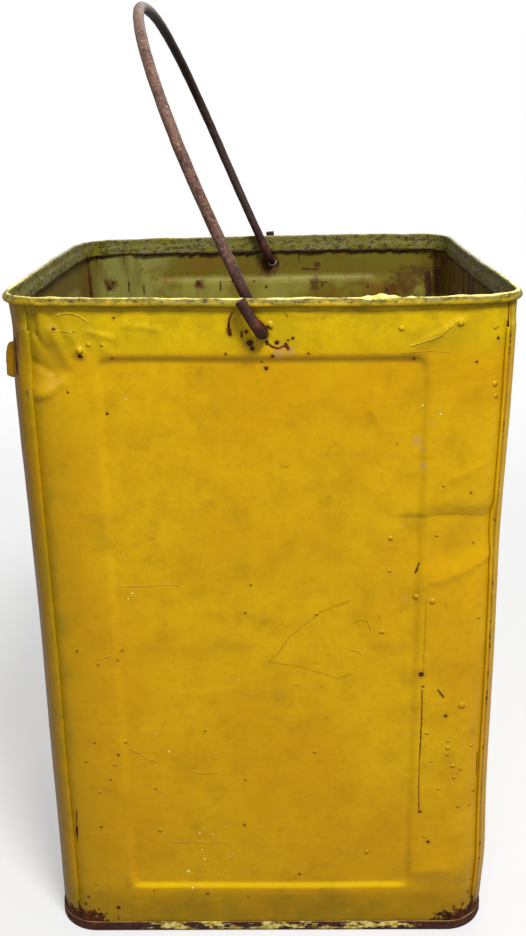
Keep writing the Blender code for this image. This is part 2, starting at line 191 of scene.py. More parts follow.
RUST_STROKES = (
    ((-12.6, 341.5), (-14, 338.5), (-14.3, 335), (-13.8, 332.5), 0.45),
    ((-14.3, 334), (-13.8, 332), 0.95),
    ((2.3, 330.5), (2.7, 328), (5.2, 326), (7.8, 325.5), (10.4, 326.6), (11.9, 325), 0.42),
    ((2.3, 330), (2.6, 327.5), 0.7),
    ((11, 327.5), (12, 325), 0.65),
    ((-8.6, 333), (-8.6, 330.8), 0.45),
    ((-2, 338.5), (2, 334.5), 0.9),
    ((3, 335.5), (4.6, 334), 0.4),
    ((74, 219), (72.5, 214), 0.35),
    ((77.6, 150), (78, 132), (77.8, 109), 0.26),
    ((77.8, 109), (77.9, 92), (78.6, 77), 0.2),
    ((85.6, 150), (88.4, 146), 0.4),
    ((-101.6, 78), (-102.2, 70), (-103, 58), 0.3),
    ((-102.4, 67), (-103, 62), 0.7),
    ((10.9, 341), (11.6, 339.5), 0.2),
    ((112, 345), (112, 334), 0.5),
    ((109.5, 110), (109.8, 97), 0.35),
    ((-120.5, 326), (-118.5, 320), (-116, 312.5), 1.6),
    ((-116, 330), (-116.4, 322), 0.6),
)
WHITE_SPOTS = (
    (-44, 38, 0.75), (-42, 28, 0.55), (-35, 46, 0.5), (-36, 52, 0.35), (-37, 63, 0.45), (-35, 66, 0.35),
    (-30, 62, 0.4), (-23, 67, 0.35), (-20, 50, 0.3), (-22, 48, 0.3), (-28, 36, 0.3), (-36, 39, 0.3),
    (-11, 37, 0.3), (-51, 114, 0.45), (-56, 86, 0.3), (-57, 125, 0.35), (-14, 156, 0.35), (-65, 204, 0.45),
    (-67, 201, 0.35), (-27, 113, 0.3), (-62, 302, 0.4), (73, 298, 0.45), (81, 294, 0.45),
)
BLISTERS = (
    (-73, 120, 1.2), (-58, 65, 1.6), (-79, 107, 1.0), (-88, 90, 0.9), (-94, 31, 1.0), (-94, 109, 0.9),
    (73, 201, 1.7), (81, 199, 1.9), (25, 192, 1.0), (98, 141, 2.3), (92, 116, 1.3), (92, 120, 1.0),
    (92, 112, 1.0), (95, 105, 1.4), (99, 103, 1.0), (96, 98, 1.1), (105, 116, 1.1), (81, 125, 1.1),
    (84, 108, 0.8), (52, 50, 1.5), (24, 113, 1.0), (82, 61, 1.0), (88, 91, 1.0), (99, 80, 1.0),
    (105, 80, 1.0), (108, 88, 1.4), (105, 189, 1.0), (57, 182, 1.4), (62, 334, 1.5), (88, 336, 2.0),
    (106, 307, 1.7), (107, 301, 1.3), (104, 333, 1.0), (84, 259, 0.9), (82, 233, 1.0), (60, 232, 1.4),
    (60, 215, 1.1), (-77, 327, 1.2), (-71, 327, 1.0), (-83, 333, 0.8), (4, 336, 2.2), (-81, 324.5, 2.0),
)
SCRATCHES = (
    ((-38.5, 101.3), (-32.7, 100.6), (-25.6, 101.0), 0.3),
    ((-54, 57.1), (-39, 57.4), (-33, 56.5), (-21, 57.6), 0.3),
    ((-71, 207.7), (-55.4, 207.8), (-52, 208.6), (-42, 208.3), 0.25),
    ((-72, 116.6), (-62.8, 110.2), (-57, 107.4), 0.3),
    ((-84.6, 168.2), (-77.7, 170.1), 0.3),
    ((-90, 340), (-86, 341), (-82.4, 340.7), (-79.4, 339.4), (-76.7, 337.3), 0.35),
    ((-93, 333), (-86.6, 333), (-83, 332.2), 0.3),
    ((62, 323), (75, 323.4), (84, 322.6), 0.18),
    ((42, 172), (44.8, 171.9), (47.7, 169.6), 0.35),
    ((66, 326), (79, 330), (86, 336.5), 0.35),
)
DIRT_AND_SHADE_LINES = (
    ((41, 199), (26.5, 193), (11, 179), (6, 170.5), (0.7, 166), 0.4),
    ((0.7, 166), (9, 164.3), (16.6, 163), (35.5, 156), (41.5, 158.5), 0.35),
    ((43.6, 187), (46.5, 188.4), (49.4, 188), (51.5, 183), 0.4),
    # Painted shade: a dark line along the top of the crease
    ((80, 243.8), (90, 244.2), (108.6, 242), 0.3),
    ((78, 200), (77.8, 160), 0.35),
)
STAINS = ((71, 281, 2.8), (74, 277, 1.5), (74, 269, 2.0), (77, 290, 1.0), (66, 239, 1.1),
          (41, 52, 1.0), (8, 323.5, 3.4), (13, 324, 2.4), (68, 200, 1.4))

# Marks on the lacquer inside the back wall, in millimetres: run from its middle, height, radius
INSIDE_SPOTS = (
    (-15.7, 336.4, 1.3), (33.6, 329.2, 2.2), (67, 314.3, 1.0), (37, 316, 1.2), (-44.6, 317.8, 1.8),
    (120, 332, 3.2), (114, 325, 3.0), (109, 334, 1.6), (-105, 315.5, 1.7), (-102, 319, 1.2),
    (1.5, 331, 5.0), (7, 330, 2.4), (-8, 319, 1.0), (-22, 319, 1.0), (0, 315, 1.1), (80, 312, 1.5),
)
INSIDE_STROKES = (((-19.6, 337.4), (-12.3, 337.6), 0.8), ((-30.3, 319), (-30.3, 313), 0.6),
                  ((-81.4, 317), (-81.4, 311), 0.6), ((-91, 319), (-91.5, 313), 0.6),
                  ((21.8, 338), (21.7, 331), 0.6), ((-122, 342), (-121.5, 325), 1.4),
                  ((-121.5, 325), (-119.5, 300), 2.4), ((-108, 321), (-103, 315), 0.7),
                  ((24, 326.5), (34, 326), 0.8), ((112, 336), (115, 312), 2.2), ((107, 322), (109, 300), 2.4),
                  ((30, 318), (40, 317.5), 0.5), ((-1, 343), (2, 331), 2.4))
INSIDE_SMEARS = ((92, 317, 14), (104, 322, 9), (84, 311, 9), (116, 318, 13), (-104, 318, 7), (32, 317, 6),
                 (-44, 317, 5), (3, 328, 9))

# How far behind the left seam the middle of the strip of the left wall is that is painted in shade
DARK_STRIP = 0.030

# The front wall's marks are drawn in zones, in millimetres, so that each zone's material stays small,
# and those beside the flap in a zone of their own
ZONE_RUNS = (-135, -50, 50, 135)
ZONE_HEIGHTS = (0, 130, 280, 350)
BESIDE_FLAP = (-135, -113, 300, 350)

# Worked out from the sizes above
HALF = BODY_WIDTH / 2
FLAT = HALF - CORNER_RADIUS
ARC = CORNER_RADIUS * math.pi / 2
WALL_RUN = 2 * FLAT + ARC
ROUND_TRIP = 4 * WALL_RUN
CORNER_MIDDLE = FLAT + ARC / 2
WALL_MIDDLE = -SHEET / 2
LAYER = SHEET + GAP
LAP = LAYER / 2
SEAM_LEG = LAP + LAYER
PANEL_HALF = HALF - PANEL_SIDE_MARGIN
PANEL_TOP = TIN_HEIGHT - PANEL_TOP_MARGIN
HOLE_HEIGHT = TIN_HEIGHT - HOLE_DROP
HOLE_RADIUS = ROD_RADIUS + HOLE_CLEARANCE
LEFT_SEAM = -FLAT - LEFT_SEAM_ROUND
RIGHT_SEAM = FLAT + RIGHT_SEAM_ROUND


def ease(share):
    """Go smoothly from 0 to 1."""
    share = min(max(share, 0), 1)
    return share * share * (3 - 2 * share)


def turned_to_wall(wall, across, out):
    """Turn a place on the front wall, across and out from the tin's middle, to wall 0 to 3."""
    angle = wall * math.pi / 2
    return Vector((across * math.cos(angle) + out * math.sin(angle),
                   across * math.sin(angle) - out * math.cos(angle)))


def plan(run, out):
    """Place a point by its run round the walls and out from them."""
    wall = math.floor((run + FLAT) / WALL_RUN)
    across = run - wall * WALL_RUN
    if across <= FLAT:
        return turned_to_wall(wall, across, HALF + out)
    angle = (across - FLAT) / CORNER_RADIUS
    reach = CORNER_RADIUS + out
    return turned_to_wall(wall, FLAT + reach * math.sin(angle), FLAT + reach * math.cos(angle))


def inside_panel(run, height):
    """Say how far inside the pressed panel's outline a place is."""
    across = (run + WALL_RUN / 2) % WALL_RUN - WALL_RUN / 2
    beside = max(abs(across) - (PANEL_HALF - PANEL_CORNER), 0)
    above = max(height - (PANEL_TOP - PANEL_CORNER), PANEL_FOOT_MARGIN + PANEL_CORNER - height, 0)
    return PANEL_CORNER - math.hypot(beside, above)


def dent_depth(run, height):
    """Add up the dents at a place on the walls."""
    total = 0
    for dent in DENTS:
        middle = dent.corner * CORNER_MIDDLE + dent.run
        away = (run - middle + ROUND_TRIP / 2) % ROUND_TRIP - ROUND_TRIP / 2
        spread = (away / dent.half_run) ** 2 + ((height - dent.height) / dent.half_height) ** 2
        if spread < 9:
            total += dent.depth * math.exp(-spread)
    return total


def crease_depth(run, height):
    """Add up the creases: each a folded line whose two sides slope back to the wall."""
    place = Vector((run, height)) / MM
    total = 0
    for crease in CREASES:
        start = Vector(crease.start)
        line = Vector(crease.end) - start
        along = (place - start).dot(line) / line.length_squared
        aside = line.x * (place - start).y - line.y * (place - start).x
        aside /= line.length
        beyond = max(-along, along - 1, 0) * line.length
        width = crease.above if aside > 0 else crease.below
        reach = 1 - math.hypot(aside, beyond) / width
        if reach > 0:
            total += crease.depth * MM * reach ** 1.3
    return total


def waviness(run, height):
    """Give the slight bulges and ripples of a handled tin."""
    where = Vector((*plan(run, 0), height))
    slow = noise.noise(where * 14)
    quick = noise.noise(where * 60 + Vector((5, 0, 0)))
    end = min(height, TIN_HEIGHT - height)
    return (0.0005 * slow + 0.00012 * quick) * ease(end / 0.03)


def rim_lift(run, height):
    """Bend the top unevenly, easing smoothly from each sixteenth of the way round to the next."""
    sixteenth = run / ROUND_TRIP * len(RIM_LIFTS)
    first = math.floor(sixteenth)
    rise = (1 - math.cos(math.pi * (sixteenth - first))) / 2
    before = RIM_LIFTS[first % len(RIM_LIFTS)]
    after = RIM_LIFTS[(first + 1) % len(RIM_LIFTS)]
    return (before + (after - before) * rise) * (height / TIN_HEIGHT) ** 3


def place(run, out, height):
    """Place a point of the tin, with its panels, dents, creases and the uneven rim."""
    depth = PANEL_DEPTH * ease(inside_panel(run, height) / PANEL_SLOPE)
    depth += dent_depth(run, height) + waviness(run, height)
    if abs(run) < CORNER_MIDDLE:
        depth += crease_depth(run, height)
    flat = plan(run, out - depth)
    return Vector((flat.x, flat.y, height + rim_lift(run, height)))


def spaced(values, step):
    """Add values between a sorted list's, so that none is further than a step from the next."""
    dense = [values[0]]
    for value in values[1:]:
        parts = max(math.ceil((value - dense[-1]) / step), 1)
        start = dense[-1]
        dense += [start + (value - start) * part / parts for part in range(1, parts + 1)]
    return dense


def spaced_line(points, step):
    """Add points to a (run, out) line, so that its runs are close together."""
    line = [points[0]]
    for run, out in points[1:]:
        last_run, last_out = line[-1]
        parts = max(math.ceil(abs(run - last_run) / step), 1)
        for part in range(1, parts + 1):
            share = part / parts
            line.append((last_run + (run - last_run) * share, last_out + (out - last_out) * share))
    return line


def hooked(height):
    """Say how fully the lock seams are hooked at a height: 1 along the wall, 0 near the ends."""
    from_end = min(height, TIN_HEIGHT - height) - SEAM_END_MARGIN
    return min(max(from_end / SEAM_JOGGLE, 0), 1)


def front_edge(seam, side, height):
    """Fold the front sheet's edge: under the rear sheet, out round its end, and back between."""
    low = -LAP + (SEAM_PROUD - SHEET / 2 - 3 * LAYER + LAP) * hooked(height)
    bulge = LAYER * math.sin(math.radians(60))
    wall = [(-2 * LAYER - SEAM_JOGGLE, WALL_MIDDLE), (-2 * LAYER - GAP, low), (SEAM_WIDTH, low)]
    hook = [(SEAM_WIDTH + bulge, low + LAYER / 2), (SEAM_WIDTH + bulge, low + 3 * LAYER / 2),
            (SEAM_WIDTH, low + 2 * LAYER), (2 * LAYER, low + 2 * LAYER)]
    return seam_edge(seam, side, wall, hook)


def rear_edge(seam, side, height):
    """Fold the rear sheet's edge: over the front sheet, in at the seam, and back between."""
    high = LAP + (SEAM_PROUD - SHEET / 2 - LAP) * hooked(height)
    bulge = LAYER * math.sin(math.radians(60))
    wall = [(SEAM_WIDTH + 2 * LAYER + SEAM_JOGGLE, WALL_MIDDLE),
            (SEAM_WIDTH + 2 * LAYER + GAP, high), (0, high)]
    hook = [(-bulge, high - LAYER / 2), (-bulge, high - 3 * LAYER / 2),
            (0, high - 2 * LAYER), (SEAM_WIDTH - 2 * LAYER, high - 2 * LAYER)]
    return seam_edge(seam, side, wall, hook)


def seam_edge(seam, side, wall_points, hook_points):
    """Give a sheet's edge at a seam as (run, out), and how many of its points are in the hook."""
    wall = spaced_line([(seam + side * along, out) for along, out in wall_points], FRONT_STEP)
    hook = spaced_line([wall[-1]] + [(seam + side * along, out) for along, out in hook_points], FRONT_STEP)
    return wall + hook[1:], len(hook) - 1


def put(name, data):
    """Put a new object with some data into the scene."""
    made = bpy.data.objects.new(name, data)
    bpy.context.scene.collection.objects.link(made)
    return made


def fold_blank(columns, levels, where, missing=None):
    """Fold a flat grid into shape, keeping each point's run, out and height as its place."""
    blank = bmesh.new()
    bmesh.ops.create_grid(blank, x_segments=columns, y_segments=levels, size=0.5)
    column_of = blank.verts.layers.int.new("column")
    level_of = blank.verts.layers.int.new("level")
    place_of = blank.verts.layers.float_vector.new("place")
    for vert in blank.verts:
        vert[column_of] = round((vert.co.x + 0.5) * columns)
        vert[level_of] = round((vert.co.y + 0.5) * levels)
    if missing:
        cut = []
        for face in blank.faces:
            column = min(vert[column_of] for vert in face.verts)
            level = min(vert[level_of] for vert in face.verts)
            if missing(column, level):
                cut.append(face)
        bmesh.ops.delete(blank, geom=cut, context="FACES")
    for vert in blank.verts:
        vert[place_of] = where(vert[column_of], vert[level_of])
        vert.co = place(*vert[place_of])
    return blank


def punch_hole(blank, middle_run):
    """Open the bail hole in a folded sheet, with its edge burred outwards."""
    place_of = blank.verts.layers.float_vector["place"]

    def reach(vert):
        return math.hypot(vert[place_of].x - middle_run, vert[place_of].z - HOLE_HEIGHT)

    inside = [face for face in blank.faces if min(reach(vert) for vert in face.verts) < HOLE_RADIUS]
    bmesh.ops.delete(blank, geom=inside, context="FACES")
    for vert in blank.verts:
        if vert.is_boundary and reach(vert) < 2 * HOLE_RADIUS:
            grow = HOLE_RADIUS / reach(vert)
            run, out, height = vert[place_of]
            run = middle_run + (run - middle_run) * grow
            height = HOLE_HEIGHT + (height - HOLE_HEIGHT) * grow
            vert[place_of] = (run, out + SHEET, height)
            vert.co = place(*vert[place_of])


def sheet_object(name, blank, outsides, inside):
    """Turn a folded blank into an object, with the sheet's thickness half on each side."""
    mesh = bpy.data.meshes.new(name)
    blank.to_mesh(mesh)
    blank.free()
    for outside in outsides:
        mesh.materials.append(outside)
    mesh.materials.append(inside)
    mesh.shade_smooth()
    mesh.set_sharp_from_angle(angle=SHEET_SHARP)
    sheet = put(name, mesh)
    solid = sheet.modifiers.new("thickness", "SOLIDIFY")
    solid.thickness = SHEET
    solid.offset = 0
    solid.use_even_offset = True
    solid.material_offset = len(outsides)
    solid.material_offset_rim = len(outsides)
    return sheet


def body_sheet(name, edge, start_seam, end_seam, step, hole_run, outsides, inside):
    """Fold one sheet of the body from seam to seam, its hooks cut back near the top and the foot."""
    inward = 1 if edge is front_edge else -1
    bends = [LAYER, BASE_SEAM_HEIGHT + GAP, SEAM_END_MARGIN, SEAM_END_MARGIN + SEAM_JOGGLE,
             PANEL_FOOT_MARGIN, PANEL_FOOT_MARGIN + PANEL_SLOPE, PANEL_TOP - PANEL_SLOPE, PANEL_TOP,
             TIN_HEIGHT - SEAM_END_MARGIN - SEAM_JOGGLE, TIN_HEIGHT - SEAM_END_MARGIN, TIN_HEIGHT - LAYER]
    round_hole = [HOLE_STEP * part for part in range(-HOLE_STEPS, HOLE_STEPS + 1)]
    levels = spaced(sorted(bends + [HOLE_HEIGHT + away for away in round_hole]), step)
    first, first_hook = edge(start_seam, -inward, levels[0])
    last, last_hook = edge(end_seam, inward, levels[0])
    bends = wall_bends(first[0][0], last[0][0])
    runs = spaced(sorted(bends + [hole_run + away for away in round_hole]), step)[1:-1]
    rows = []
    for height in levels:
        start = edge(start_seam, -inward, height)[0]
        end = edge(end_seam, inward, height)[0]
        rows.append(start[::-1] + [(run, WALL_MIDDLE) for run in runs] + end)
    columns = len(rows[0]) - 1

    def where(column, level):
        run, out = rows[level][column]
        return run, out, levels[level]

    def missing(column, level):
        in_hook = column < first_hook or column >= columns - last_hook
        return in_hook and min(hooked(levels[level]), hooked(levels[level + 1])) < 1

    blank = fold_blank(columns, len(levels) - 1, where, missing)
    punch_hole(blank, hole_run)
    if len(outsides) > 1:
        place_of = blank.verts.layers.float_vector["place"]
        for face in blank.faces:
            middle = sum((vert[place_of] for vert in face.verts), Vector()) / len(face.verts)
            face.material_index = zone_of(middle.x / MM, middle.z / MM)
    return sheet_object(name, blank, outsides, inside)


def zone_of(run, height):
    """Say which of the front wall's zones a place in millimetres is in."""
    column = sum(run > edge for edge in ZONE_RUNS[1:-1])
    row = sum(height > edge for edge in ZONE_HEIGHTS[1:-1])
    return column * (len(ZONE_HEIGHTS) - 1) + row


def wall_bends(start, end):
    """List the runs between a start and an end at which the walls and their panels bend."""
    runs = [start, end]
    for wall in range(-1, 5):
        middle = wall * WALL_RUN
        for edge in (PANEL_HALF - PANEL_SLOPE, PANEL_HALF, FLAT):
            runs += [middle - edge, middle + edge]
    return sorted(run for run in runs if start <= run <= end)


def rounded(points, radius, steps):
    """Round the sharp corners of a profile."""
    line = [points[0]]
    for before, corner, after in zip(points, points[1:], points[2:]):
        corner = Vector(corner)
        back = Vector(before) - corner
        ahead = Vector(after) - corner
        if back.angle(ahead) > STRAIGHT:
            line.append(tuple(corner))
            continue
        start = corner + back.normalized() * min(radius, back.length / 2)
        end = corner + ahead.normalized() * min(radius, ahead.length / 2)
        for step in range(steps + 1):
            share = step / steps
            line.append(tuple(start.lerp(corner, share).lerp(corner.lerp(end, share), share)))
    return line + [points[-1]]


def pressed_ring(line, wear):
    """Fold a profile of (out, height) points right round the tin; wear moves each of them a little."""
    runs = spaced(wall_bends(-PANEL_HALF, ROUND_TRIP - PANEL_HALF), RING_STEP)

    def where(column, level):
        out, height = line[level]
        run = runs[column]
        extra_out, extra_height = wear(run % ROUND_TRIP, level)
        return run, out + extra_out, height + extra_height

    ring = fold_blank(len(runs) - 1, len(line) - 1, where)
    bmesh.ops.remove_doubles(ring, verts=ring.verts, dist=WELD)
    return ring


def linear(hex_colour):
    """Turn an sRGB hex colour into linear values."""
    channels = [int(hex_colour[start:start + 2], 16) / 255 for start in (1, 3, 5)]
    return (*[c / 12.92 if c <= 0.04045 else ((c + 0.055) / 1.055) ** 2.4 for c in channels], 1)


def add(tree, kind, inputs=None, output=0, **settings):
    """Add a node with its settings, link or set its inputs, and give one of its outputs."""
    made = tree.nodes.new("ShaderNode" + kind)
    for name, value in settings.items():
        setattr(made, name, value)
    for socket, value in (inputs or {}).items():
        if isinstance(value, bpy.types.NodeSocket):
            tree.links.new(value, made.inputs[socket])
        else:
            made.inputs[socket].default_value = linear(value) if isinstance(value, str) else value
    return made.outputs[output]


# Settings that many nodes share
SOFTLY = {"interpolation_type": "SMOOTHSTEP"}
TIMES = {"operation": "MULTIPLY"}
LEAST = {"operation": "MINIMUM"}
MOST = {"operation": "MAXIMUM"}


def new_material(name, specular=0.5):
    """Start a material, with its shader and the coordinates that its patterns read."""
    material = bpy.data.materials.new(name)
    material.use_nodes = True
    tree = material.node_tree
    shader = tree.nodes["Principled BSDF"]
    shader.inputs["Specular IOR Level"].default_value = specular
    return material, tree, shader, add(tree, "TexCoord", output="Object")


def finish_material(tree, shader, colour, roughness, skin):
    """Link a material's colour, roughness and the height of its skin to its shader."""
    tree.links.new(colour, shader.inputs["Base Color"])
    tree.links.new(roughness, shader.inputs["Roughness"])
    tree.links.new(add(tree, "Bump", {"Height": skin, "Distance": 1.0}), shader.inputs["Normal"])


def layered(tree, colour, layers):
    """Lay colours over one another.

    A layer is a mask and a colour, or else a value, where it starts to show, where it is full,
    its share there and its colour.
    """
    for mask, *edges, over in layers:
        if edges:
            start, full, share = edges
            mask = add(tree, "MapRange", {0: mask, 1: start, 2: full, 4: share}, **SOFTLY)
        colour = add(tree, "Mix", {0: mask, 6: colour, 7: over}, 2, data_type="RGBA")
    return colour


def heaped(tree, parts):
    """Add up a skin's height from its parts: each a mask and how high it stands."""
    height = 0.0
    for mask, rise in parts:
        height = add(tree, "Math", {0: mask, 1: rise, 2: height}, operation="MULTIPLY_ADD")
    return height


def any_of(tree, masks):
    """Join masks into one that is as strong as the strongest of them."""
    joined, *others = masks
    for mask in others:
        joined = add(tree, "Math", {0: joined, 1: mask}, **MOST)
    return joined


def pushed(tree, value, push, start, full):
    """Give a mask of a value that is pushed up by another, from where it starts to where it is full."""
    return add(tree, "MapRange", {0: add(tree, "Math", {0: value, 1: push}), 1: start, 2: full}, **SOFTLY)


def away_from(tree, value, middle):
    """Give how far a value is from a middle, to either side."""
    beside = add(tree, "Math", {0: value, 1: middle}, operation="SUBTRACT")
    return add(tree, "Math", {0: beside}, operation="ABSOLUTE")


def from_axis(tree, coordinates):
    """Give how far a place is from the tin's upright axis."""
    level = add(tree, "VectorMath", {0: coordinates, 1: (1, 1, 0)}, operation="MULTIPLY")
    return add(tree, "VectorMath", {0: level}, "Value", operation="LENGTH")


def run_out_height(tree):
    """Give the run, the distance out and the height that a folded piece keeps of its points."""
    spot = add(tree, "Attribute", output="Vector", attribute_name="place")
    return add(tree, "SeparateXYZ", {0: spot}).node.outputs


def nearest_spot(tree, where, spots):
    """Give the distance to the nearest of some spots, counted in that spot's radius."""
    nearest = 10.0
    for run, height, radius in spots:
        middle = (run * MM, 0, height * MM)
        away = add(tree, "VectorMath", {0: where, 1: middle}, "Value", operation="DISTANCE")
        away = add(tree, "Math", {0: away, 1: 1 / (radius * MM)}, **TIMES)
        nearest = add(tree, "Math", {0: away, 1: nearest}, **LEAST)
    return nearest


def nearest_stroke(tree, where, strokes):
    """Give the distance to the nearest of some strokes, counted in that stroke's half width."""
    nearest = 10.0
    for *points, half_width in strokes:
        for start, end in zip(points, points[1:]):
            start = Vector((start[0], 0, start[1])) * MM
            line = Vector((end[0], 0, end[1])) * MM - start
            from_start = add(tree, "VectorMath", {0: where, 1: start}, operation="SUBTRACT")
            along = add(tree, "VectorMath", {0: from_start, 1: line / line.length_squared}, "Value",
                        operation="DOT_PRODUCT")
            share = add(tree, "Clamp", {0: along})
            foot = add(tree, "VectorMath", {0: line, "Scale": share}, operation="SCALE")
            away = add(tree, "VectorMath", {0: from_start, 1: foot}, "Value", operation="DISTANCE")
            away = add(tree, "Math", {0: away, 1: 1 / (half_width * MM)}, **TIMES)
            nearest = add(tree, "Math", {0: away, 1: nearest}, **LEAST)
    return nearest


def nearest_mark(tree, where, spots, strokes):
    """Give the distance to the nearest spot or stroke, counted in its own radius or half width."""
    return add(tree, "Math", {0: nearest_spot(tree, where, spots), 1: nearest_stroke(tree, where, strokes)},
               **LEAST)


def specks(tree, where, shift, spacing, share, largest):
    """Scatter round specks: a mask of 1 inside them, with only a share of the places taken."""
    moved = add(tree, "Mapping", {"Vector": where, "Location": shift})
    cells = add(tree, "TexVoronoi", {"Vector": moved, "Scale": 1 / spacing}).node
    chance = add(tree, "SeparateColor", {0: cells.outputs["Color"]})
    radius = add(tree, "MapRange", {0: chance, 1: 1 - share, 2: 1.0, 3: 0.0, 4: largest / spacing})
    inside = add(tree, "Math", {0: radius, 1: cells.outputs["Distance"]}, operation="SUBTRACT")
    return add(tree, "MapRange", {0: inside, 1: 0.0, 2: 0.35 * largest / spacing}, **SOFTLY)


def ragged(tree, where, reach):
    """Shift the places a little here and there, so that marks get ragged outlines."""
    speckle = add(tree, "TexNoise", {"Vector": where, "Scale": 1 / (1.1 * MM), "Detail": 2.0}, "Color")
    centred = add(tree, "VectorMath", {0: speckle, 1: (0.5, 0.5, 0.5)}, operation="SUBTRACT")
    shift = add(tree, "VectorMath", {0: centred, "Scale": reach}, operation="SCALE")
    return add(tree, "VectorMath", {0: where, 1: shift})


def rust_colour(tree, where):
    """Mix the browns of rust, from near black to orange."""
    coarse = add(tree, "TexNoise", {"Vector": where, "Scale": 1 / (6 * MM), "Detail": 5.0})
    fine = add(tree, "TexNoise", {"Vector": where, "Scale": 1 / (1.4 * MM), "Detail": 4.0})
    return layered(tree, "#240E06", (
        (coarse, 0.38, 0.62, 1.0, "#4C230D"),
        (fine, 0.47, 0.66, 0.4, "#824318"),
    ))


def in_zone(zone, marks):
    """Pick the marks that reach into a zone of the walls."""
    low_run, high_run, low_height, high_height = zone
    picked = []
    for mark in marks:
        points = [mark[:2]] if isinstance(mark[0], (int, float)) else mark[:-1]
        margin = 3.5 * mark[-1] + 1
        runs = [point[0] for point in points]
        heights = [point[1] for point in points]
        beside = min(high_run - min(runs), max(runs) - low_run)
        above = min(high_height - min(heights), max(heights) - low_height)
        if min(beside, above) > -margin:
            picked.append(mark)
    return picked


